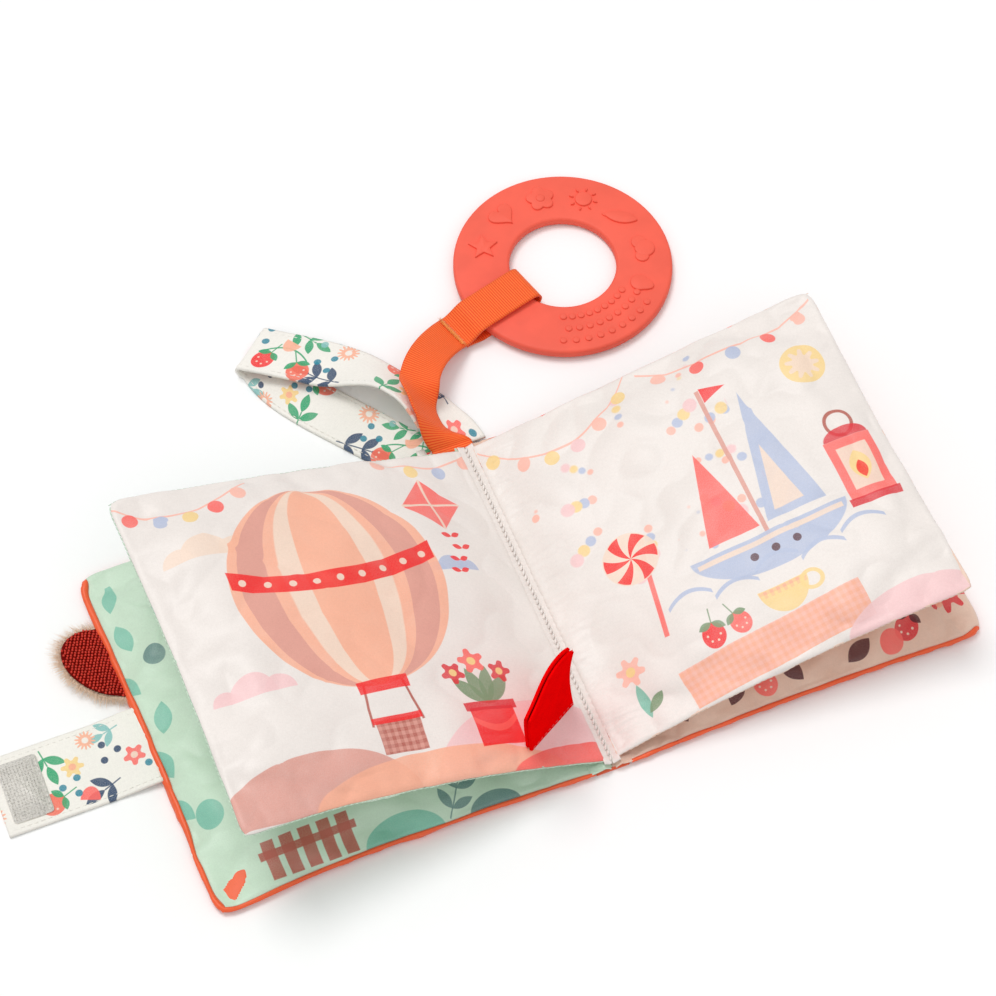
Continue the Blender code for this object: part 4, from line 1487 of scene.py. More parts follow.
@dataclass
class Route:
    """A band's way: places close together, each with its direction across the band."""

    places: list[Vector]
    across: list[Vector]
    reached: list[float] = field(default_factory=list)

    def __post_init__(self) -> None:
        """Measures how far along each place is."""
        self.reached = [0.0]
        for before, after in zip(self.places, self.places[1:]):
            self.reached.append(self.reached[-1] + (after - before).length)

    @property
    def length(self) -> float:
        """Its whole length."""
        return self.reached[-1]

    def at(self, distance: float) -> tuple[Vector, Vector, Vector]:
        """The place, the direction across and the direction up at a distance along it."""
        distance = min(max(distance, 0.0), self.length)
        index = max(bisect.bisect_left(self.reached, distance), 1)
        span = self.reached[index] - self.reached[index - 1]
        share = (distance - self.reached[index - 1]) / span if span else 0.0
        place = self.places[index - 1].lerp(self.places[index], share)
        across = self.across[index - 1].lerp(self.across[index], share).normalized()
        before = self.places[max(index - 2, 0)]
        after = self.places[min(index + 1, len(self.places) - 1)]
        way = (after - before).normalized()
        return place, across, way.cross(across).normalized()


def thicken(mesh: bmesh.types.BMesh, thickness: float) -> bmesh.types.BMesh:
    """Gives a sheet its thickness, with its faces turned outwards, and returns it."""
    mesh.normal_update()
    bmesh.ops.solidify(mesh, geom=mesh.faces[:], thickness=thickness)
    bmesh.ops.recalc_face_normals(mesh, faces=mesh.faces)
    return mesh


def band(
    route: Route,
    width: float,
    thickness: float,
    cell: float,
    relief: Height,
    cells_across: int,
) -> bmesh.types.BMesh:
    """A band of cloth along a route, its middle layer on the route.

    Args:
        route: The route.
        width: The band's width.
        thickness: Its thickness.
        cell: How long a cell of its mesh is.
        relief: Gives how far it stands out at a distance along it and aside of its middle.
        cells_across: How many cells it has across.

    Returns:
        Its mesh.
    """
    mesh = bmesh.new()
    spot = place_layer(mesh)
    cells = round(route.length / cell)
    bmesh.ops.create_grid(mesh, x_segments=cells, y_segments=cells_across, size=1)
    frames: dict[int, tuple[Vector, Vector, Vector]] = {}
    for vert in mesh.verts:
        step = round((1 + vert.co.x) / 2 * cells)
        along = route.length * step / cells
        if step not in frames:
            frames[step] = route.at(along)
        place, across, up = frames[step]
        aside = vert.co.y * width / 2
        vert[spot] = Vector((along, aside, 0)) / MILLIMETRE
        vert.co = place + across * aside + up * (thickness / 2 + relief(along, aside))
    return thicken(mesh, thickness)


def pressed(aside: float, line: float) -> float:
    """How strongly the stitches in a line, this far from a band's middle, press it at a place."""
    return math.exp(-(((line - abs(aside)) / PRESSED_HALF) ** 2))


def sew_edges(route: Route, line: float, level: float, ways: Sequence[int]) -> bmesh.types.BMesh:
    """Sews lines of stitches along both edges of a band.

    Args:
        route: The band's route.
        line: How far from its middle the lines run.
        level: How far from its middle layer they lie.
        ways: 1 for lines above that layer, -1 for lines below it.

    Returns:
        The mesh of the stitches.
    """
    pile = Pile()
    for side in (-1, 1):
        for way in ways:
            for step in range(int(route.length / EDGE_STITCH_PITCH)):
                place, across, up = route.at((step + 0.5) * EDGE_STITCH_PITCH)
                ahead, _, _ = route.at((step + 0.6) * EDGE_STITCH_PITCH)
                middle = place + across * (side * line) + up * (way * level)
                pile.stitch(middle, ahead - place, EDGE_STITCH_PITCH * 0.72, THREAD_RADIUS)
    return pile.mesh()


@dataclass
class Spine:
    """The middle of the book: its strip, gathered seam, stitches and the gutters beside it."""

    length: float = 0.134
    cover_length: float = 0.1376
    gutter_length: float = 0.136
    strip_width: float = 0.012
    strip_thickness: float = 0.0009
    seam_half: float = 0.0016
    seam_depth: float = 0.0022
    seam_middle: float = 0.0026
    stitch_pitch: float = 0.0021
    stitch_length: float = 0.0028
    stitch_radius: float = 0.0005
    thread_rise: float = 0.0044
    ruche_pitch: float = 0.0029
    lining_inset: float = 0.0007
    fold_length: float = 0.138
    gather_cell: float = 0.0006
    gather_thickness: float = 0.0003

    @staticmethod
    def straight(length: float, cells: int, height: float) -> Route:
        """The way along the spine at a height, from its tail to its head."""
        places = [Vector((0, -length / 2 + length * step / cells, height)) for step in range(cells + 1)]
        return Route(places, [Vector((-1, 0, 0))] * len(places))

    def ruche(self, y: float, seed: float) -> float:
        """How much the gathered cloth stands out at a place along the spine, from -1 to 1."""
        phase = y / self.ruche_pitch + 0.6 * wave(y, 0, seed, 0.009)
        return math.cos(math.tau * phase) * (0.7 + 0.5 * wave(y, 0, seed + 4, 0.012))

    def strip(self, room: Workroom) -> None:
        """Makes the strip of outer cloth between the covers."""
        route = self.straight(self.cover_length, 60, self.strip_thickness / 2)
        mesh = band(route, self.strip_width, self.strip_thickness, 0.001, lambda along, aside: 0.0, 10)
        piece = room.dress("spine_strip_satin", mesh, ORANGE_SATIN, "spine", "spine_strip")

    def seam(self, room: Workroom) -> None:
        """Makes the gathered cloth that the centre seam catches."""
        route = self.straight(self.length, 268, self.seam_middle)

        def relief(along: float, aside: float) -> float:
            """A low valley along the stitches, with ruched sides."""
            share = abs(aside) / self.seam_half
            return 0.0004 * smooth(share) + 0.00015 * share * self.ruche(along - self.length / 2, 1.0)

        mesh = band(route, 2 * self.seam_half, self.seam_depth, 0.0005, relief, 10)
        room.dress("spine_seam_cloth", mesh, WHITE_SATIN, "spine", "spine_seam_bundle")

    def stitches(self, room: Workroom) -> None:
        """Sews the seam with slanted silver stitches."""
        pile = Pile()
        count = round(self.length / self.stitch_pitch)
        for step in range(count):
            y = -self.length / 2 + self.stitch_pitch * (step + 0.5)
            middle = Vector((0, y, self.thread_rise))
            way = Vector((0.45, 1, 0)).normalized()
            pile.stitch(middle, way, self.stitch_length, self.stitch_radius)
        room.dress("spine_seam_stitches", pile.mesh(), SILVER_THREAD, "spine", "spine_seam_thread")

    def between(self, ends: Sequence[tuple[float, float]], length: float, depth: float) -> bmesh.types.BMesh:
        """A strip of cloth along the spine, gathered in its middle.

        Args:
            ends: The X and Z of the corners of its section.
            length: Its length along the spine.
            depth: How deep it is gathered.

        Returns:
            Its mesh.
        """
        mesh = bmesh.new()
        spot = place_layer(mesh)
        cells = round(length / self.gather_cell)
        bmesh.ops.create_grid(mesh, x_segments=10, y_segments=cells, size=1)
        corners = [Vector((x, 0, z)) for x, z in ends]
        for vert in mesh.verts:
            share = (1 + vert.co.x) / 2
            y = vert.co.y * length / 2
            place = bezier(corners, share)
            middle = math.sin(math.pi * share)
            vert.co = place + Vector((0, y, depth * middle * self.ruche(y, ends[-1][0])))
            vert[spot] = Vector((vert.co.x, y, 0)) / MILLIMETRE
        return thicken(mesh, self.gather_thickness)

    def gutters(self, room: Workroom, side: int, leaf: str, cover: str, lining: Cloth) -> None:
        """Makes the cloths that join a leaf and its cover to the seam.

        Args:
            room: The workroom.
            side: -1 on the left, 1 on the right.
            leaf: Which leaf it is.
            cover: Which cover lies under it.
            lining: The satin of the leaf's back and the cover's inner page.
        """
        half, back = ("spine", f"{leaf}_leaf"), (f"{leaf}_leaf", f"{cover}_cover")
        gutter = ((0.25, 3.75), (0.9, 3.95), (1.5, 4.35), (2.9, 5.1))
        fold = ((3.2, 3.6), (3.6, 2.6), (5.4, 2.3), (8.4, 2.2))
        root = ((0.9, 1.7), (1.4, 2.4), (2.2, 3.0), (3.4, 3.5))
        level = ((0.1, 1.4), (2.4, 1.35), (4.2, 1.3), (6.0, 1.3))
        lined = self.cover_length - 2 * self.lining_inset
        for name, corners, bodies, finish, length, depth in (
            ("gutter", gutter, half, WHITE_SATIN, self.gutter_length, 0.00022),
            ("fold", fold, back, lining, self.fold_length, 0.0004),
            ("root", root, half, lining, self.fold_length, 0.0002),
            ("lining", level, None, lining, lined, 0.0001),
        ):
            ends = [(side * x * MILLIMETRE, z * MILLIMETRE) for x, z in corners]
            piece = room.make(f"{leaf}_{name}", self.between(ends, length, depth), finish)
            if bodies is None:
                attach(piece, "spine")
                continue
            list(bodies)
            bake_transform(piece)

    def build(self, room: Workroom) -> None:
        """Makes all of it."""
        self.strip(room)
        self.seam(room)
        self.stitches(room)
        self.gutters(room, -1, "left", "front", MINT_SATIN)
        self.gutters(room, 1, "right", "back", PEACH_SATIN)


def bezier(points: Sequence[Vector], share: float) -> Vector:
    """A point of a cubic Bezier curve."""
    a, b, c, d = points
    rest = 1 - share
    return a * rest**3 + b * 3 * rest * rest * share + c * 3 * rest * share * share + d * share**3


@dataclass
class ClosureStrap:
    """The printed strap on the front cover, its hook patch, and the loop patch that it meets."""

    width: float = 0.030
    length: float = 0.056
    thickness: float = 0.0011
    middle_y: float = -0.002
    root_x: float = -0.140688
    sewn_in: float = 0.0018
    root_rise: float = 0.0016
    fall_share: float = 0.35
    stitch_inset: float = 0.0018
    stitch_rise: float = 0.0001
    wave_depth: float = 0.0002
    pressed_depth: float = 0.00018
    tape_height: float = 0.0004
    tape_corner: float = 0.0012
    hook_pitch: float = 0.0011
    hook_root: float = 0.0003
    hook_radius: float = 0.00018
    frame_share: float = 0.9
    frame_pitch: float = 0.0021
    frame_stitch: float = 0.0016
    frame_rise: float = 0.00045
    loops: int = 700
    loop_margin: float = 0.0006
    loop_radius: float = 0.00014

    @property
    def stitch_line(self) -> float:
        """How far from the strap's middle its stitches run."""
        return self.width / 2 - self.stitch_inset

    def route(self) -> Route:
        """Its way: out of the cover's seam, which hides its first stretch, down and along the table."""
        places = []
        start, seen = self.root_x - self.sewn_in, self.length - self.sewn_in
        for step in range(81):
            share = step / 80
            fall = (1 + math.cos(math.pi * min(share / self.fall_share, 1))) / 2
            height = self.thickness / 2 + self.root_rise * fall
            places.append(Vector((start - seen * share, self.middle_y, height)))
        return Route(places, [Vector((0, -1, 0))] * len(places))

    def relief(self, along: float, aside: float) -> float:
        """Its soft waves, and the pressed line along each stitched edge."""
        waves = max(self.wave_depth * wave(along, aside, 3.0, 0.012), -self.wave_depth)
        return waves - self.pressed_depth * pressed(aside, self.stitch_line) + self.wave_depth

    def build(self, room: Workroom) -> None:
        """Makes the strap and both patches."""
        route = self.route()
        mesh = band(route, self.width, self.thickness, 0.0008, self.relief, 36)
        strap = room.dress("closure_strap_cotton", mesh, PRINTED_COTTON, "closure_strap", "closure_strap")
        sewn = sew_edges(route, self.stitch_line, self.thickness / 2 + self.stitch_rise, (1,))
        seams = room.dress("closure_strap_stitches", sewn, WHITE_THREAD, "closure_strap")
        self.hooks(room)
        self.pile(room)

    def tape(self, low: Vector, high: Vector) -> bmesh.types.BMesh:
        """The woven base of a patch, a slab with round corners, given its box's corners."""
        mesh = bmesh.new()
        place = Matrix.Translation((low + high) / 2) @ Matrix.Diagonal((*(high - low), 1))
        bmesh.ops.create_cube(mesh, size=1, matrix=place)
        half = (high.z - low.z) / 2
        upright = [edge for edge in mesh.edges if abs(edge.verts[0].co.z - edge.verts[1].co.z) > half]
        bmesh.ops.bevel(
            mesh, geom=upright, offset=self.tape_corner, affect="EDGES", segments=4, profile=0.5, material=-1
        )
        return mesh

    def hooks(self, room: Workroom) -> None:
        """Makes the clear hook patch: a woven base, its hooks and the stitches round it."""
        low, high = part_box("hook_patch")
        middle = (low + high) / 2
        pile = Pile(self.tape(low, Vector((high.x, high.y, low.z + self.tape_height))))
        draw = random.Random(41)
        pitch = self.hook_pitch
        rows, columns = int((high.y - low.y) / pitch), int((high.x - low.x) / pitch)
        for row in range(1, rows):
            for column in range(1, columns):
                root = low + Vector((column * pitch, row * pitch, self.hook_root))
                lean = Vector((0.0004 * draw.choice((-1, 1)), 0.0001 * draw.uniform(-1, 1), 0))
                bends = ((0.0, 0.0), (0.0, 0.0006), (0.6, 0.0008), (1.0, 0.00045))
                pile.hair([root + lean * share + UP * rise for share, rise in bends], self.hook_radius)
        patch = room.dress("hook_patch_tape", pile.mesh(), HOOK_TAPE, "closure_strap", "hook_patch")
        pile = Pile()
        corners = [(low.x, low.y), (high.x, low.y), (high.x, high.y), (low.x, high.y), (low.x, low.y)]
        line = [middle.lerp(Vector((x, y, middle.z)), self.frame_share) for x, y in corners]
        for place, way in walk(line, self.frame_pitch):
            place.z = low.z + self.frame_rise
            pile.stitch(place, way, self.frame_stitch, THREAD_RADIUS)
        room.dress("hook_patch_stitches", pile.mesh(), WHITE_THREAD, "closure_strap")
        LOG.info("%s holds %d rows of hooks", patch.name, rows - 1)

    def pile(self, room: Workroom) -> None:
        """Makes the loop patch under the back cover, with its short pile."""
        low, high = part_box("loop_patch")
        level = (low.z + high.z) / 2
        margin = self.loop_margin
        pile = Pile(self.tape(Vector((low.x, low.y, level)), high))
        draw = random.Random(43)
        for _ in range(self.loops):
            x = draw.uniform(low.x + margin, high.x - margin)
            y = draw.uniform(low.y + margin, high.y - margin)
            root = Vector((x, y, level))
            lean = Vector((draw.uniform(-1, 1), draw.uniform(-1, 1), 0)) * 0.0004
            pile.hair([root, root + lean + UP * (low.z - level + 0.00008)], self.loop_radius)
        room.dress("loop_patch_pile", pile.mesh(), LOOP_TAPE, "back_cover", "loop_patch")


@dataclass
class CarryLoop:
    """The printed strap that is folded into a loop at the spine's head."""

    width: float = 0.020
    reach: float = 0.087
    back_bow: float = 0.0092
    front_bow: float = 0.0088
    front_shift: float = 0.006
    heading: float = math.radians(130.5)
    root: tuple[float, float] = (-0.001, 0.0702)
    thickness: float = 0.0011
    gap: float = 0.0003
    turn_rise: float = 0.004
    root_turn: float = 0.11
    bank: float = math.radians(36)
    stitch_inset: float = 0.0016
    stitch_rise: float = 0.0001
    wave_depth: float = 0.0002
    pressed_depth: float = 0.00015

    @property
    def stitch_line(self) -> float:
        """How far from the strap's middle its stitches run."""
        return self.width / 2 - self.stitch_inset

    def route(self) -> Route:
        """Its way: out along the back leg, which stands half on edge, and back along the front one."""
        heading = Vector((math.cos(self.heading), math.sin(self.heading), 0))
        beside = Vector((heading.y, -heading.x, 0))
        root = Vector((*self.root, 0))
        low = self.gap + self.thickness / 2
        high = low + self.thickness + self.gap
        radius = (self.turn_rise + high - low) / 2
        straight = self.reach - radius
        places, across = [], []
        steps = 90
        for step in range(steps + 1):
            share = step / steps
            bank = self.bank * smooth((share - 0.05) / 0.27) * smooth((0.72 - share) / 0.34)
            spread = self.back_bow * math.sin(math.pi * share**0.85)
            lift = high + self.turn_rise * share + self.width / 2 * math.sin(bank)
            places.append(root + heading * (straight * share) + beside * spread + UP * lift)
            across.append(self.turned(beside, share) * math.cos(bank) - UP * math.sin(bank))
        middle = root + heading * straight + UP * (low + radius)
        for step in range(1, 16):
            angle = math.pi * step / 16
            places.append(middle + heading * (radius * math.sin(angle)) + UP * (radius * math.cos(angle)))
            across.append(beside)
        for step in range(steps + 1):
            share = 1 - step / steps
            spread = self.front_bow * (1 - share**6) * smooth(share / 0.2)
            shift = Vector((-self.front_shift * (1 - share) ** 3, 0, 0))
            places.append(root + heading * (straight * share) - beside * spread + shift + UP * low)
            across.append(self.turned(beside, share))
        return Route(places, across)

    def turned(self, beside: Vector, share: float) -> Vector:
        """The strap's level direction across: square to the spine at its root."""
        return Vector((1, 0, 0)).lerp(beside, smooth(share / self.root_turn)).normalized()

    def build(self, room: Workroom) -> None:
        """Makes the loop and its stitched edges."""
        route = self.route()
        mesh = band(route, self.width, self.thickness, 0.001, self.relief, 24)
        loop = room.dress("carry_loop_cotton", mesh, PRINTED_COTTON, "carry_loop", "carry_loop")
        sewn = sew_edges(route, self.stitch_line, self.thickness / 2 + self.stitch_rise, (-1, 1))
        seams = room.dress("carry_loop_stitches", sewn, WHITE_THREAD, "carry_loop")

    def relief(self, along: float, aside: float) -> float:
        """Its soft waves, and the pressed line along each stitched edge."""
        waves = self.wave_depth * wave(along, aside, 7.0, 0.010)
        return waves - self.pressed_depth * pressed(aside, self.stitch_line)


Outline = Callable[[float], tuple[float, float]]


def out_to(reach: float, angle: float) -> tuple[float, float]:
    """The place at a reach and an angle."""
    return reach * math.cos(angle), reach * math.sin(angle)


def disc(angle: float) -> tuple[float, float]:
    """A round outline."""
    return out_to(1.0, angle)


@dataclass
class Teether:
    """The rubber ring, and the ribbon that holds it."""

    outer: float = 0.041
    hole: float = 0.020
    thickness: float = 0.004
    edge_round: float = 0.0013
    centre: tuple[float, float] = (0.064, 0.130)
    icon_rise: float = 0.0008
    icon_size: float = 0.0058
    nub_inset: float = 0.0052
    nub_radius: float = 0.00125
    ribbon_width: float = 0.015
    ribbon_thickness: float = 0.0008
    clearance: float = 0.0006
    gap: float = 0.0003
    ribbon_heading: float = math.radians(195.8)
    ribbon_root: tuple[float, float, float] = (-0.004, 0.0706, 0.0035)
    tack_reach: float = 0.0095
    tack_rise: float = 0.0031
    tack_inset: float = 0.0012
    tack_back: float = 0.0022
    tack_rows: int = 34
    tack_ends: int = 26
    root_tuck: float = 0.0024
    root_drop: float = 0.0004
    bank: float = math.radians(50)
    arch: float = 0.0135
    bend_shares: tuple[tuple[float, float], ...] = ((-0.62, 0.35), (-0.10, 0.72))
    rib_depth: float = 0.00009

    @property
    def outwards(self) -> Vector:
        """The way from the ring's middle to the ribbon's tack."""
        return Vector((math.cos(self.ribbon_heading), math.sin(self.ribbon_heading), 0))

    def ring_matrix(self) -> Matrix:
        """Where the ring lies: the ribbon under it lifts one side."""
        lift = self.ribbon_thickness + self.clearance
        tilt = math.asin(lift / (2 * self.outer))
        turn = Matrix.Rotation(tilt, 4, self.outwards.cross(UP))
        return Matrix.Translation((*self.centre, (lift + self.thickness) / 2)) @ turn

    def section(self) -> list[Vector]:
        """The ring's section: a flat bar whose corners are rounded."""
        inner, outer = self.hole + self.edge_round, self.outer - self.edge_round
        half = self.thickness / 2 - self.edge_round
        points = []
        for quarter, (x, z) in enumerate(((outer, half), (inner, half), (inner, -half), (outer, -half))):
            for step in range(7):
                angle = math.pi / 2 * (quarter + step / 6)
                aside, above = out_to(self.edge_round, angle)
                points.append(Vector((x + aside, 0, z + above)))
        return points

    def ring(self, room: Workroom) -> None:
        """Makes the ring with its raised icons and chewing nubs."""
        mesh = bmesh.new()
        verts = [mesh.verts.new(point) for point in self.section()]
        edges = [mesh.edges.new(pair) for pair in zip(verts, verts[1:] + verts[:1])]
        bmesh.ops.spin(
            mesh, geom=verts + edges, cent=(0, 0, 0), axis=(0, 0, 1),
            angle=math.tau, steps=192, use_merge=True,
        )
        bmesh.ops.recalc_face_normals(mesh, faces=mesh.faces)
        raised = bmesh.new()
        way = (self.hole + self.outer) / 2
        away = math.degrees(self.ribbon_heading)
        for number, icon in enumerate(Icon):
            angle = math.radians(away - 50 - number * 31)
            for middle_x, middle_y, size, turn, outline, rise in icon.parts():
                spot = Matrix.Rotation(angle, 4, "Z") @ Matrix.Translation((way, 0, self.thickness / 2))
                inner = Matrix.Translation((middle_x * self.icon_size, middle_y * self.icon_size, 0))
                place = spot @ Matrix.Rotation(-math.pi / 2, 4, "Z") @ inner @ Matrix.Rotation(turn, 4, "Z")
                self.raise_icon(raised, place, size * self.icon_size, outline, self.icon_rise * rise)
        for row, radius in enumerate((self.hole + self.nub_inset, way, self.outer - self.nub_inset)):
            for step in range(9):
                angle = math.radians(away + 52 + step * 7.5 + (row % 2) * 3.75)
                place = Matrix.Translation((*out_to(radius, angle), self.thickness / 2))
                self.raise_icon(raised, place, self.nub_radius, disc, self.icon_rise * 0.75)
        bmesh.ops.recalc_face_normals(raised, faces=raised.faces)
        shapes = bpy.data.meshes.new("raised_shapes")
        raised.to_mesh(shapes)
        raised.free()
        mesh.from_mesh(shapes)
        bpy.data.meshes.remove(shapes)
        bmesh.ops.transform(mesh, matrix=self.ring_matrix(), verts=mesh.verts)
        room.dress("teether_ring_rubber", mesh, CORAL_RUBBER, "teether_ring", "teether_ring")

    @staticmethod
    def raise_icon(
        mesh: bmesh.types.BMesh, place: Matrix, size: float, outline: Outline, rise: float
    ) -> None:
        """Raises one rounded shape on the ring.

        Args:
            mesh: The mesh of all raised shapes.
            place: Where the shape is.
            size: How large it is, where its outline reaches out to 1.
            outline: Gives the outline's place at an angle.
            rise: How high it stands.
        """
        ring = bmesh.ops.create_circle(mesh, cap_ends=True, segments=60, radius=1)["verts"]
        for vert in ring:
            x, y = outline(math.atan2(vert.co.y, vert.co.x))
            vert.co = Vector((size * x, size * y, -rise))
        face = ring[0].link_faces[0]
        grown = bmesh.ops.extrude_face_region(mesh, geom=[face])["geom"]
        lid = [item for item in grown if isinstance(item, bmesh.types.BMVert)]
        bmesh.ops.translate(mesh, verts=lid, vec=(0, 0, 1.7 * rise))
        face = next(item for item in grown if isinstance(item, bmesh.types.BMFace))
        shape = set(ring) | set(lid)
        for inset, lift in ((0.25, 0.2), (0.5, 0.1)):
            face = bmesh.ops.extrude_discrete_faces(mesh, faces=[face])["faces"][0]
            keep = 1 - inset * rise / size
            bmesh.ops.scale(mesh, verts=face.verts, vec=(keep, keep, 1))
            bmesh.ops.translate(mesh, verts=face.verts, vec=(0, 0, lift * rise))
            shape.update(face.verts)
        bmesh.ops.transform(mesh, matrix=place, verts=list(shape))

    def ribbon_route(self) -> tuple[Route, float]:
        """The ribbon's way, and how far along it the tack is."""
        outwards = self.outwards
        beside = UP.cross(outwards)
        centre = Vector((*self.centre, 0))
        half = self.ribbon_thickness / 2
        over = self.ribbon_thickness + 3 * self.clearance + self.thickness + half
        fold = (over - half) / 2
        tack = self.outer + self.tack_reach
        tack_high = self.tack_rise + half
        tack_low = tack_high - self.ribbon_thickness - self.gap
        edge = self.outer + self.clearance
        fold_at = self.hole - self.clearance

        def at(reach: float, height: float) -> Vector:
            """A place at a reach from the ring's middle towards the spine."""
            return centre + outwards * reach + UP * height

        start, end = Vector(self.ribbon_root), at(tack, tack_high)
        way = end - start
        bends = [start + Vector((way.x * a, way.y * b, self.arch)) for a, b in self.bend_shares]
        sewn_in = start - Vector((0, self.root_tuck, self.root_drop))
        places = [sewn_in.lerp(start, step / 4) for step in range(4)]
        across = [Vector((-1, 0, 0))] * len(places)
        steps = 70
        for step in range(steps + 1):
            share = step / steps
            level = Vector((-1, 0, 0)).lerp(-beside, share).normalized()
            tilt = UP * (math.tan(self.bank) * smooth(share / 0.22) * smooth((0.55 - share) / 0.25))
            places.append(bezier((start, *bends, end), share))
            across.append((level + tilt).normalized())
        sewn = len(places) - 1
        for step in range(1, 13):
            share = step / 12
            places.append(at(tack + (edge - tack) * share, tack_high + (over - tack_high) * smooth(share)))
        for step in range(1, 13):
            places.append(at(edge + (fold_at - edge) * step / 12, over))
        for step in range(1, 12):
            angle = math.pi * step / 12
            places.append(at(fold_at - fold * math.sin(angle), half + fold * (1 + math.cos(angle))))
        for step in range(13):
            places.append(at(fold_at + (edge - fold_at) * step / 12, half))
        for step in range(1, 13):
            share = step / 12
            places.append(at(edge + (tack - edge) * share, half + (tack_low - half) * smooth(share)))
        across += [-beside] * (len(places) - len(across))
        route = Route(places, across)
        return route, route.reached[sewn]

    def ribbon(self, room: Workroom) -> None:
        """Makes the ribbed ribbon and the bar tack that closes it."""
        route, sewn = self.ribbon_route()

        def ribs(along: float, aside: float) -> float:
            """The ribs, which stop at the woven edges."""
            edge = smooth((self.ribbon_width / 2 - abs(aside)) / 0.0005)
            return -self.rib_depth * edge * (1 - math.cos(math.tau * along / RIB_PITCH)) / 2

        mesh = band(route, self.ribbon_width, self.ribbon_thickness, RIB_PITCH / 6, ribs, 14)
        ribbon = room.dress("teether_ribbon_grosgrain", mesh, Grosgrain(), "teether_ribbon", "teether_ribbon")
        pile = Pile()
        draw = random.Random(47)
        half = self.ribbon_width / 2 - self.tack_inset
        level = self.ribbon_thickness / 2
        for step in range(self.tack_rows):
            aside = -half + 2 * half * step / (self.tack_rows - 1)
            lean = 0.35 if step % 2 else -0.35
            for layer in range(2):
                along = sewn - self.tack_back + draw.uniform(-0.0003, 0.0003)
                place, across, up = route.at(along)
                ahead, _, _ = route.at(along + MILLIMETRE)
                way = ((ahead - place).normalized() + across * lean).normalized()
                middle = place + across * aside + up * (level + 0.00035 + 0.00015 * layer)
                pile.stitch(middle, way, 0.0023 + draw.uniform(-0.0004, 0.0006), 0.00024)
        place, across, up = route.at(sewn - self.tack_back)
        ahead, _, _ = route.at(sewn)
        for _ in range(self.tack_ends):
            end = draw.choice((-1, 1, 1))
            root = place + across * (end * half) + up * (level + 0.0004)
            tip = root + across * (end * draw.uniform(0.0006, 0.002)) + UP * draw.uniform(-0.0002, 0.0009)
            tip += (ahead - place).normalized() * draw.uniform(-0.0015, 0.0015)
            pile.hair([root, root.lerp(tip, 0.5) + UP * 0.0002, tip], 0.00009)
        tack = room.dress(
            "ribbon_bar_tack_thread", pile.mesh(), TACK_THREAD, "teether_ribbon", "ribbon_bar_tack"
        )

    def build(self, room: Workroom) -> None:
        """Makes the ring and its ribbon."""
        self.ring(room)
        self.ribbon(room)


class Icon(Enum):
    """The raised shapes on the ring, in their order round it."""

    STAR = "star"
    HEART = "heart"
    BLOSSOM = "blossom"
    SUN = "sun"
    LEAF = "leaf"
    CLOUD = "cloud"
    DROP = "drop"

    def parts(self) -> list[tuple[float, float, float, float, Outline, float]]:
        """The outlines that it is made of.

        Returns:
            For each one its middle, its size, its turn, its outline and its share of the full rise.
        """

        def star(angle: float) -> tuple[float, float]:
            """Five straight-sided points."""
            half, notch = math.pi / 5, 0.45
            aside = abs((angle - math.pi / 2 + half) % (2 * half) - half)
            return out_to(notch * math.sin(half) / (notch * math.sin(half - aside) + math.sin(aside)), angle)

        def heart(angle: float) -> tuple[float, float]:
            """Two lobes over a point, as the usual heart curve draws them."""
            turn = math.pi / 2 - angle
            waves = 13 * math.cos(turn) - 5 * math.cos(2 * turn) - 2 * math.cos(3 * turn) - math.cos(4 * turn)
            return 16 * math.sin(turn) ** 3 / 17, (waves + 2) / 17

        def petals(angle: float) -> tuple[float, float]:
            """Five round petals."""
            return out_to(0.72 + 0.28 * abs(math.cos(2.5 * (angle - math.pi / 2))), angle)

        def leaf(angle: float) -> tuple[float, float]:
            """An oval with two points."""
            return math.cos(angle), 0.42 * math.sin(angle) * abs(math.sin(angle)) ** 0.6

        def drop(angle: float) -> tuple[float, float]:
            """A round foot under a point."""
            return out_to(0.62 + 0.38 * max(math.sin(angle), 0) ** 7, angle)

        aims = [math.tau * number / 8 for number in range(8)]
        rays = [(*out_to(0.8, aim), 0.15, aim, leaf, 1.0) for aim in aims]
        puffs = [
            (-0.5, -0.1, 0.5, 0, disc, 0.9),
            (0.05, 0.15, 0.65, 0, disc, 1.0),
            (0.6, -0.15, 0.45, 0, disc, 0.85),
        ]
        shapes = {
            Icon.STAR: [(0, 0, 1.0, 0, star, 1.0)],
            Icon.HEART: [(0, 0, 0.95, 0, heart, 1.0)],
            Icon.BLOSSOM: [(0, 0, 0.95, 0, petals, 1.0), (0, 0, 0.3, 0, disc, 1.5)],
            Icon.SUN: [(0, 0, 0.55, 0, disc, 1.0), *rays],
            Icon.LEAF: [(0, 0, 1.1, 0.6, leaf, 1.0), (-0.75, -0.52, 0.35, 0.6, leaf, 0.7)],
            Icon.CLOUD: puffs,
            Icon.DROP: [(0, -0.1, 0.95, 0, drop, 1.0)],
        }
        return shapes[self]


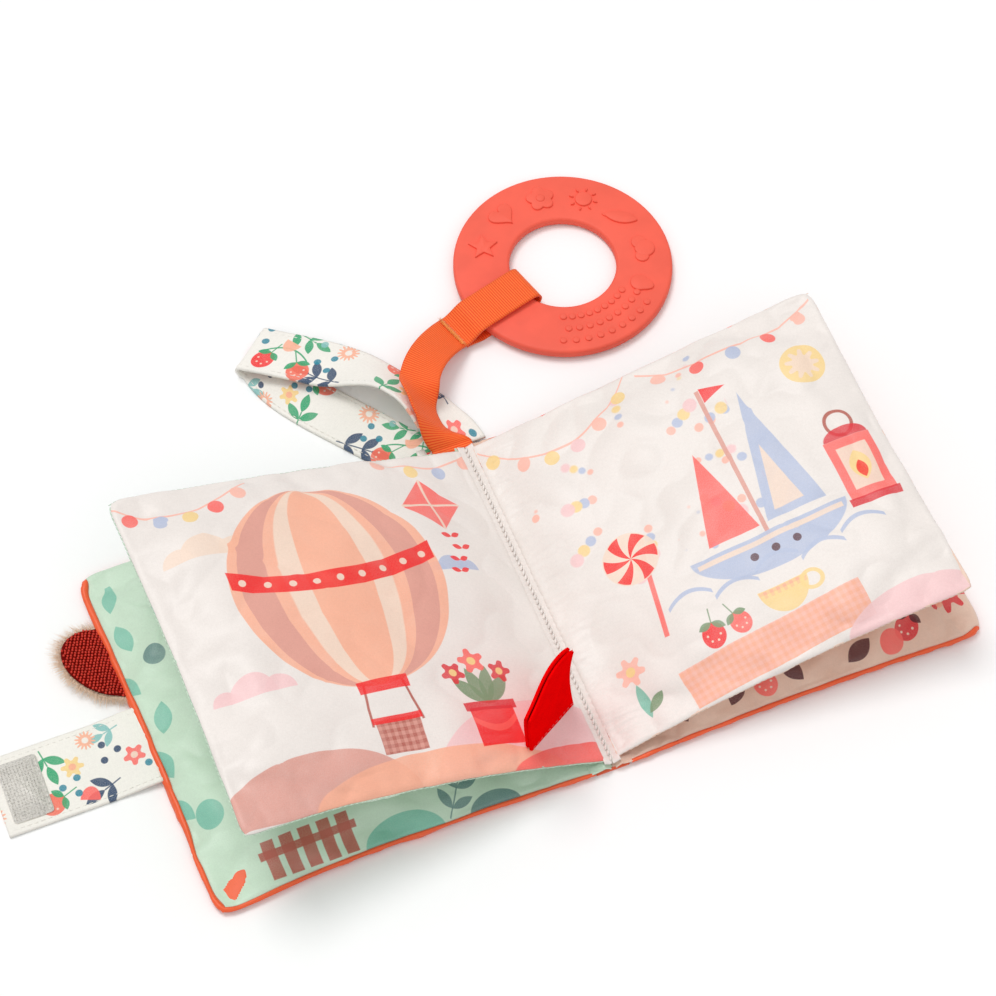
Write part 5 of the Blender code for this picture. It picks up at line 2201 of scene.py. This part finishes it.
@dataclass
class LiftFlap:
    """The red flap: two felts that stand on the left leaf by their sewn foot."""

    panel: PaddedPanel
    width: float = 0.027
    height: float = 0.032
    corner: float = 0.005
    felt: float = 0.0011
    gap: float = 0.0003
    seam: tuple[float, float] = (-0.016, -0.051)
    turn: float = math.radians(36)
    sway: float = 0.0026
    left_flare: float = 0.0050
    right_flare: float = 0.0023
    keep: float = 0.3
    fuzz: int = 420
    fuzz_radius: float = 0.00005
    seam_share: float = 0.045
    stitch_length: float = 0.0019
    stitch_radius: float = 0.00018

    def point(self, u: float, rise: float, depth: float) -> Vector:
        """Where a point of a felt is.

        Args:
            u: Its share along the foot, from -1 to 1.
            rise: Its share of the height, from 0 to 1.
            depth: How far through the flap it is.

        Returns:
            The place.
        """
        along = Vector((math.cos(self.turn), math.sin(self.turn), 0))
        through = Vector((-along.y, along.x, 0))
        bend = self.sway * math.sin(math.pi * 0.5 * (u + 0.4)) * rise + 0.0012 * math.sin(math.pi * rise)
        foot = Vector((*self.seam, 0)) + along * (u * self.width / 2) + through * (depth + bend)
        cut = self.corner * 0.2 * (rise * abs(u)) ** 10
        flare = (self.right_flare * (1 + u) - self.left_flare * (1 - u)) / 2
        base = self.panel.top_height(foot.x, foot.y) + self.gap
        return foot + along * (flare * rise * rise) + UP * (base + self.height * rise - cut)

    def build(self, room: Workroom) -> None:
        """Makes both felts with their fuzz, and the stitches along the foot."""
        names = (("flap_back_felt", self.gap / 2, 1), ("flap_front_felt", -self.gap / 2 - self.felt, -1))
        for name, near, sense in names:
            mesh = bmesh.new()
            bmesh.ops.create_grid(mesh, x_segments=30, y_segments=34, size=1)
            for vert in mesh.verts:
                u, rise = vert.co.x, (1 + vert.co.y) / 2
                vert.co = self.point(u, rise, near + (self.felt if sense > 0 else 0.0))
            if sense > 0:
                bmesh.ops.reverse_faces(mesh, faces=mesh.faces)
            thicken(mesh, self.felt * 0.94)
            piece = room.dress(f"{name}_cloth", mesh, RED_FELT, "lift_flap", name)
            grown = self.grow_fuzz(near + self.felt / 2, sense)
            fuzz = room.dress(f"{name}_fuzz", grown, RED_FELT, "lift_flap")
            self.fold_flat(piece)
            self.fold_flat(fuzz)
        pile = Pile()
        for step in range(11):
            u = -0.9 + 1.8 * step / 10
            for depth in (-self.felt - self.gap, self.felt + self.gap):
                place = self.point(u, self.seam_share, depth)
                ahead = self.point(u + 0.02, self.seam_share, depth)
                pile.stitch(place, ahead - place, self.stitch_length, self.stitch_radius)
        self.fold_flat(room.dress("lift_flap_stitches", pile.mesh(), RED_THREAD, "lift_flap"))

    def fold_flat(self, piece: bpy.types.Object) -> None:
        """Gives a piece of the flap a mesh of its own."""
        foot = (*self.seam, self.panel.top_height(*self.seam))
        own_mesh(piece)

    def grow_fuzz(self, depth: float, sense: int) -> bmesh.types.BMesh:
        """Grows short fibres on a felt's free edges and face."""
        pile = Pile()
        draw = random.Random(53 + sense)
        middle = self.point(0, 0.5, 0)
        for _ in range(self.fuzz):
            side = draw.random()
            on_edge = side < 0.5
            if side < 0.3:
                u, rise = draw.choice((-1, 1)), draw.random()
            elif on_edge:
                u, rise = draw.uniform(-1, 1), 1.0
            else:
                u, rise = draw.uniform(-0.98, 0.98), draw.uniform(0.03, 0.98)
            root = self.point(u, rise, depth + (0 if on_edge else sense * self.felt * 0.45))
            out = root - middle if on_edge else self.point(u, rise, depth + sense * MILLIMETRE) - root
            lean = Vector((draw.uniform(-1, 1), draw.uniform(-1, 1), draw.uniform(-1, 1)))
            length = draw.uniform(0.0003, 0.0008) * (1.2 if on_edge else 0.5)
            tip = root + (out.normalized() + lean * 0.9).normalized() * length
            pile.hair([root, tip], self.fuzz_radius)
        return pile.mesh()


@dataclass
class EarTab:
    """The ear-shaped tab on the front cover: looped terry over fur."""

    length: float = 0.0162
    width: float = 0.029
    middle_y: float = 0.0325
    terry: float = 0.0014
    fur: float = 0.0022
    show: float = 0.0016
    gap: float = 0.0003
    root_x: float = -0.1444
    root_slope: float = 0.062
    seam_height: float = 0.0021
    seam_share: float = 0.3
    seam_reach: float = 0.004
    shear_share: float = 0.25
    tip_rise: float = 0.0025
    bead: float = 0.00054
    loop_pitch: float = 0.00115
    loop_length: float = 0.00125
    loop_shift: float = 0.00013
    hairs: int = 1700
    hair_radius: float = 0.00011

    def reach(self, y: float, extra: float) -> float:
        """How far out the ear reaches at a place along its sewn edge."""
        share = min(abs(y) / (self.width / 2 + extra), 1.0)
        return (self.length + extra) * math.sqrt(1 - share * share)

    def plate(self, low: float, high: float, extra: float) -> bmesh.types.BMesh:
        """A soft half oval between two heights."""
        mesh = bmesh.new()
        bmesh.ops.create_grid(mesh, x_segments=20, y_segments=26, size=1)
        spot = place_layer(mesh)
        for vert in mesh.verts:
            y = vert.co.y * (self.width / 2 + extra) * 0.999
            out = (1 - vert.co.x) / 2 * self.reach(y, extra)
            vert.co = Vector((self.root_x - out, self.middle_y + y, high))
            vert[spot] = Vector((out, y, 0)) / MILLIMETRE
        return thicken(mesh, high - low)

    def build(self, room: Workroom) -> None:
        """Makes the terry face and the fur back."""
        self.make_terry(room)
        self.make_fur(room)

    def slant(self, mesh: bmesh.types.BMesh) -> bmesh.types.BMesh:
        """Presses a finished mesh into the cover's seam, and slants it to the head and up beyond it."""
        for vert in mesh.verts:
            reach = max(self.root_x - vert.co.x, 0.0)
            full = self.seam_share + (1 - self.seam_share) * smooth(reach / self.seam_reach)
            vert.co.x -= self.root_slope * (vert.co.y - self.middle_y)
            vert.co.y += self.shear_share * reach
            vert.co.z = self.seam_height + (vert.co.z - self.seam_height) * full
            vert.co.z += self.tip_rise * (reach / self.length) ** 2
        return mesh

    def make_terry(self, room: Workroom) -> None:
        """Makes the terry: its ground, coloured dark as painted shade between the loops, and rows of short
        loops that lie aslant, coloured as lit loops, partly painted light.
        """
        low = self.fur + self.gap
        high = low + self.terry
        ground = self.slant(self.plate(low, high - self.bead, 0.0))
        # Painted shade: the ground under the loops is coloured as the shade that falls between them.
        room.dress("ear_tab_terry_ground", ground, SHADED_TERRY_GROUND, "ear_tab", "ear_tab_terry")
        pile = Pile()
        draw = random.Random(59)
        pitch = self.loop_pitch
        rows = int(self.width / pitch)
        for row in range(rows + 1):
            y = -self.width / 2 + row * pitch + 0.0003
            columns = int(self.reach(y, 0.0) / pitch)
            for column in range(columns):
                out = (column + 0.5 * (row % 2) + 0.3) * pitch
                shift = Vector((draw.uniform(-1, 1), draw.uniform(-1, 1), 0)) * self.loop_shift
                height = high - self.bead * 0.4 + draw.uniform(-0.0001, 0.0001)
                way = Vector((0.5 + draw.uniform(-0.12, 0.12), 0.75 + draw.uniform(-0.12, 0.12), 0.35))
                middle = Vector((self.root_x - out, self.middle_y + y, height)) + shift
                pile.stitch(middle, way, self.loop_length, self.bead * 0.78)
        room.dress("ear_tab_terry_pile", self.slant(pile.mesh()), RUST_TERRY, "ear_tab")

    def make_fur(self, room: Workroom) -> None:
        """Makes the fur: its backing, and wisps that show past the terry."""
        pile = Pile(self.plate(0.0003, self.fur * 0.8, self.show * 0.4))
        draw = random.Random(61)
        for _ in range(self.hairs):
            angle = draw.uniform(-0.5, 0.5) * math.pi
            depth = draw.uniform(0.7, 1.0)
            y = depth * self.width / 2 * math.sin(angle)
            out = depth * self.length * math.cos(angle)
            root = Vector((self.root_x - out, self.middle_y + y, draw.uniform(0.0006, self.fur)))
            away = Vector((-math.cos(angle), math.sin(angle) - 0.25, 0))
            swirl = Vector((draw.uniform(-1, 1), draw.uniform(-1, 1), 0)) * 0.45
            length = draw.uniform(0.0026, 0.0060)
            tip = root + (away + swirl).normalized() * length
            tip.z = max(root.z + draw.uniform(-0.0016, 0.0008), 0.0002)
            bend = root.lerp(tip, 0.5) + UP * 0.0004 + swirl * 0.0006
            pile.hair([root, bend, tip], self.hair_radius)
        room.dress("ear_tab_fur_pile", self.slant(pile.mesh()), PEACH_FUR, "ear_tab", "ear_tab_fur")


def rim_stitches(room: Workroom, panel: PaddedPanel, finish: Fibre) -> None:
    """Sews a twisted line of stitches round a leaf's free edges.

    Args:
        room: The workroom.
        panel: The leaf.
        finish: The thread.
    """
    pitch, length, radius = 0.0021, 0.0026, 0.00022
    pile = Pile()
    down = Vector((panel.side * math.sin(panel.lift), 0, -math.cos(panel.lift)))
    for place, way in walk(panel.rim_line(), pitch):
        out = way.cross(down).normalized()
        slant = (way + down * 0.18).normalized()
        pile.stitch(place + down * 0.0003 + out * 0.0001, slant, length, radius)
    room.dress(f"{panel.body}_rim_stitches", pile.mesh(), finish, panel.body)


@dataclass
class Studio:
    """A pale floor, soft light from the upper left, and the camera."""

    camera_place: tuple[float, float, float] = (-0.2029, -0.4690, 0.9084)
    target: tuple[float, float, float] = (0.0041, 0.0459, 0.0)
    focal_pixels: float = 2981.0
    frame_pixels: float = 996.0
    sensor: float = 36.0
    floor_half: float = 6.0
    fill: float = 0.56
    suns: tuple[tuple[str, float, tuple[float, float, float], float], ...] = (
        ("key", 1.2, (0.16, -0.36, -1.0), math.radians(26)),
        ("bounce", 0.42, (0.05, 0.55, -1.0), math.radians(60)),
    )
    floor_shade: float = 0.85

    def build(self) -> None:
        """Sets all of it up."""
        scene = bpy.context.scene
        scene.view_settings.view_transform = "Standard"
        self.floor()
        self.light()
        lens = bpy.data.cameras.new("camera")
        lens.sensor_width = self.sensor
        lens.lens = self.focal_pixels / self.frame_pixels * self.sensor
        lens.clip_start, lens.clip_end = 0.01, 50.0
        camera = bpy.data.objects.new("camera", lens)
        way = Vector(self.target) - Vector(self.camera_place)
        camera.location = self.camera_place
        camera.rotation_euler = way.to_track_quat("-Z", "Y").to_euler()
        scene.collection.objects.link(camera)
        scene.camera = camera

    def floor(self) -> None:
        """Makes the floor, which the camera sees as white."""
        mesh = bmesh.new()
        bmesh.ops.create_grid(mesh, x_segments=2, y_segments=2, size=self.floor_half)
        data = bpy.data.meshes.new("floor")
        mesh.to_mesh(data)
        mesh.free()
        made, graph, shader = principled("floor_paper", Roughness=0.9, Specular_IOR_Level=0.0)
        seen = graph.node("ShaderNodeLightPath").outputs["Is Camera Ray"]
        graph.feed(shader.inputs["Base Color"], graph.mix(seen, (self.floor_shade,) * 3, (1.0, 1.0, 1.0)))
        data.materials.append(made)
        floor = bpy.data.objects.new("floor", data)
        bpy.context.scene.collection.objects.link(floor)
        floor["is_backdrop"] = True

    def light(self) -> None:
        """Hangs the soft suns and fills the room with white."""
        for name, energy, way, softness in self.suns:
            sun = bpy.data.lights.new(name, "SUN")
            sun.energy = energy
            sun.angle = softness
            lamp = bpy.data.objects.new(name, sun)
            lamp.rotation_euler = Vector(way).to_track_quat("-Z", "Y").to_euler()
            bpy.context.scene.collection.objects.link(lamp)
        world = bpy.data.worlds.new("studio")
        bpy.context.scene.world = world
        world.use_nodes = True
        graph = Graph(world.node_tree)
        sky = world.node_tree.nodes["Background"]
        path = graph.node("ShaderNodeLightPath")
        seen = graph.math("MAXIMUM", path.outputs["Is Camera Ray"], path.outputs["Is Transmission Ray"])
        sky.inputs["Color"].default_value = (1.0, 1.0, 1.0, 1.0)
        graph.feed(sky.inputs["Strength"], graph.span(seen, 0.0, 1.0, self.fill, 1.0))


WHITE_SATIN = Cloth("white_satin", Ink.WHITE, "white_satin")
BALLOON_PAGE = Cloth("balloon_satin", Ink.WHITE, "white_satin", motifs=balloon_print())
HARBOUR_PAGE = Cloth("harbour_satin", Ink.WHITE, "white_satin", motifs=harbour_print())
MINT_SATIN = Cloth("mint_satin", Ink.MINT, "mint_satin")
MEADOW_PAGE = Cloth("meadow_satin", Ink.MINT, "mint_satin", motifs=meadow_print())
MINT_LINING = Cloth(
    "leafy_mint_satin", Ink.MINT, "mint_satin", motifs=lining_print(Ink.SPEARMINT, Ink.SLATE), repeat=(36, 36)
)
PEACH_SATIN = Cloth("peach_satin", Ink.PEACH, "peach_satin")
ORCHARD_PAGE = Cloth("orchard_satin", Ink.PEACH, "peach_satin", motifs=orchard_print())
PEACH_LINING = Cloth(
    "leafy_peach_satin", Ink.PEACH, "peach_satin", motifs=lining_print(Ink.CORAL, Ink.RUST), repeat=(36, 36)
)
ORANGE_SATIN = Cloth("orange_satin", Ink.ORANGE, "orange_satin", gloss=0.42)
PRINTED_COTTON = Cloth(
    "printed_cotton", Ink.COTTON, "printed_cotton", gloss=0.75, relief=0.00004, pitch=0.4,
    motifs=floral_print(), repeat=(90, 40),
)
WADDING = Fibre("polyester_wadding", Ink.COTTON, "wadding", rough=0.95)
FILM = Moulded("crinkle_film", Ink.BLUE_GREY, "crinkle_film", rough=0.15, alpha=0.5)
SILVER_THREAD = Fibre("silver_thread", Ink.WHITE, "silver_thread", rough=0.5)
WHITE_THREAD = Fibre("white_thread", Ink.COTTON, "silver_thread", rough=0.6)
RED_THREAD = Fibre("red_thread", Ink.RED, "tack_thread", rough=0.6)
MINT_THREAD = Fibre("mint_thread", Ink.MINT, "silver_thread", rough=0.55)
BEIGE_THREAD = Fibre("beige_thread", Ink.CREAM, "silver_thread", rough=0.55)
TACK_THREAD = Fibre("orange_thread", Ink.TACK, "tack_thread", rough=0.6, gloss=0.2)
RED_FELT = Fibre(
    "red_felt", Ink.FELT, "red_felt", rough=1.0, sheen=0.0, grain=2.4, depth=0.00015, variety=0.1, gloss=0.0
)
# The loops take the colour of lit terry, partly painted light; the ground takes painted shade.
RUST_TERRY = Fibre("rust_terry", Ink.TERRY_LIT_LOOP, "rust_terry", rough=0.36, sheen=0.0, gloss=0.35)
SHADED_TERRY_GROUND = Fibre("rust_terry_ground_painted_shade", Ink.TERRY_PAINTED_SHADE, "rust_terry", rough=0.9, sheen=0.0, gloss=0.1)
PEACH_FUR = Fibre("peach_fur", Ink.FUR, "peach_fur", rough=0.6, sheen=0.2, variety=0.06, gloss=0.2)
CORAL_RUBBER = Moulded("coral_rubber", Ink.RUBBER, "coral_rubber")
HOOK_TAPE = Moulded("clear_hook_tape", Ink.COTTON, "hook_tape", rough=0.35, alpha=0.85, speckle=0.2)
LOOP_TAPE = Fibre("white_loop_tape", Ink.COTTON, "loop_tape", rough=0.9)


def make_panels() -> list[PaddedPanel]:
    """The two leaves and the two covers."""
    fine = Gather(0.0085, 0.0009, 0.008)
    broad = Gather(0.017, 0.0020, 0.012)
    ruched = Gather(0.0029, 0.0011, 0.010)
    calm = Gather(0.012, 0.0005, 0.006)
    soft = Gather(0.019, 0.0013, 0.012)
    slack = Gather(0.021, 0.0016, 0.012)
    tight = Gather(0.0095, 0.0018, 0.010)
    edge = Spine().seam_half + 0.0002
    drop = 0.00095
    tail_lap = {Edge.TAIL: 0.0020}
    both_laps = {**tail_lap, Edge.FORE: 0.0026}
    leaves = [
        PaddedPanel(
            body=body, side=side, lift=lift, width=0.1345, height=0.134, crown_up=0.005, crown_down=0.003,
            upper_name="face_page", upper=page, lower_name="back_page", lower=lining, bow=bow,
            hinge_x=edge + drop * math.sin(lift), hinge_z=0.0045 - drop * math.cos(lift),
            head_skew=head_skew, tail_skew=tail_skew, head_power=26.0, tail_power=40.0,
            gathers={Edge.HINGE: hinge, Edge.FORE: soft, Edge.HEAD: soft, Edge.TAIL: tail},
        )
        for body, side, lift, bow, page, lining, head_skew, tail_skew, hinge, tail in (
            ("left_leaf", -1, math.radians(19), 0.004, BALLOON_PAGE, MINT_LINING, 0.0025, 0.0020, calm, fine),
            ("right_leaf", 1, math.radians(13), 0.002, HARBOUR_PAGE, PEACH_LINING, 0.0, 0.0, ruched, broad),
        )
    ]
    covers = [
        PaddedPanel(
            body=body, side=side, lift=0.0, width=width, height=0.140, crown_up=0.006, crown_down=0.0,
            upper_name="inner_page", upper=page, lower_name="outer_cloth", lower=ORANGE_SATIN,
            hinge_x=0.0061, edge_rise=0.0012, laps=laps, dent=dent,
            head_skew=head_skew, tail_skew=tail_skew, head_power=18.0, tail_power=18.0,
            gathers={Edge.FORE: soft, Edge.HEAD: soft, Edge.TAIL: tail},
        )
        for body, side, page, tail, laps, width, head_skew, tail_skew, dent in (
            ("front_cover", -1, MEADOW_PAGE, slack, both_laps, 0.1365, 0.0055, 0.0030, 0.0),
            ("back_cover", 1, ORCHARD_PAGE, tight, tail_lap, 0.1355, 0.0, 0.0, 0.0012),
        )
    ]
    return leaves + covers


def main() -> None:
    """Builds the book from its covers in, and sets the studio round it."""
    logging.basicConfig(level=logging.INFO, format="%(relativeCreated)7d ms  %(message)s")
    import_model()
    frame_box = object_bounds()
    Studio().build()
    room = Workroom(PrintShop())
    panels = make_panels()
    pillows = [panel.pillow() for panel in panels]
    Stuffing().swell(panels, pillows)
    for panel, pillow in zip(panels, pillows):
        panel.gather_up(pillow)
        panel.dress(room)
    rim_stitches(room, panels[0], MINT_THREAD)
    rim_stitches(room, panels[1], BEIGE_THREAD)
    Spine().build(room)
    ClosureStrap().build(room)
    CarryLoop().build(room)
    Teether().build(room)
    LiftFlap(panels[0]).build(room)
    EarTab().build(room)
    boxes = {"cad": frame_box, "visual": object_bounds()}
    {name: [list(corner) for corner in box] for name, box in boxes.items()}


if __name__ == "__main__":
    main()
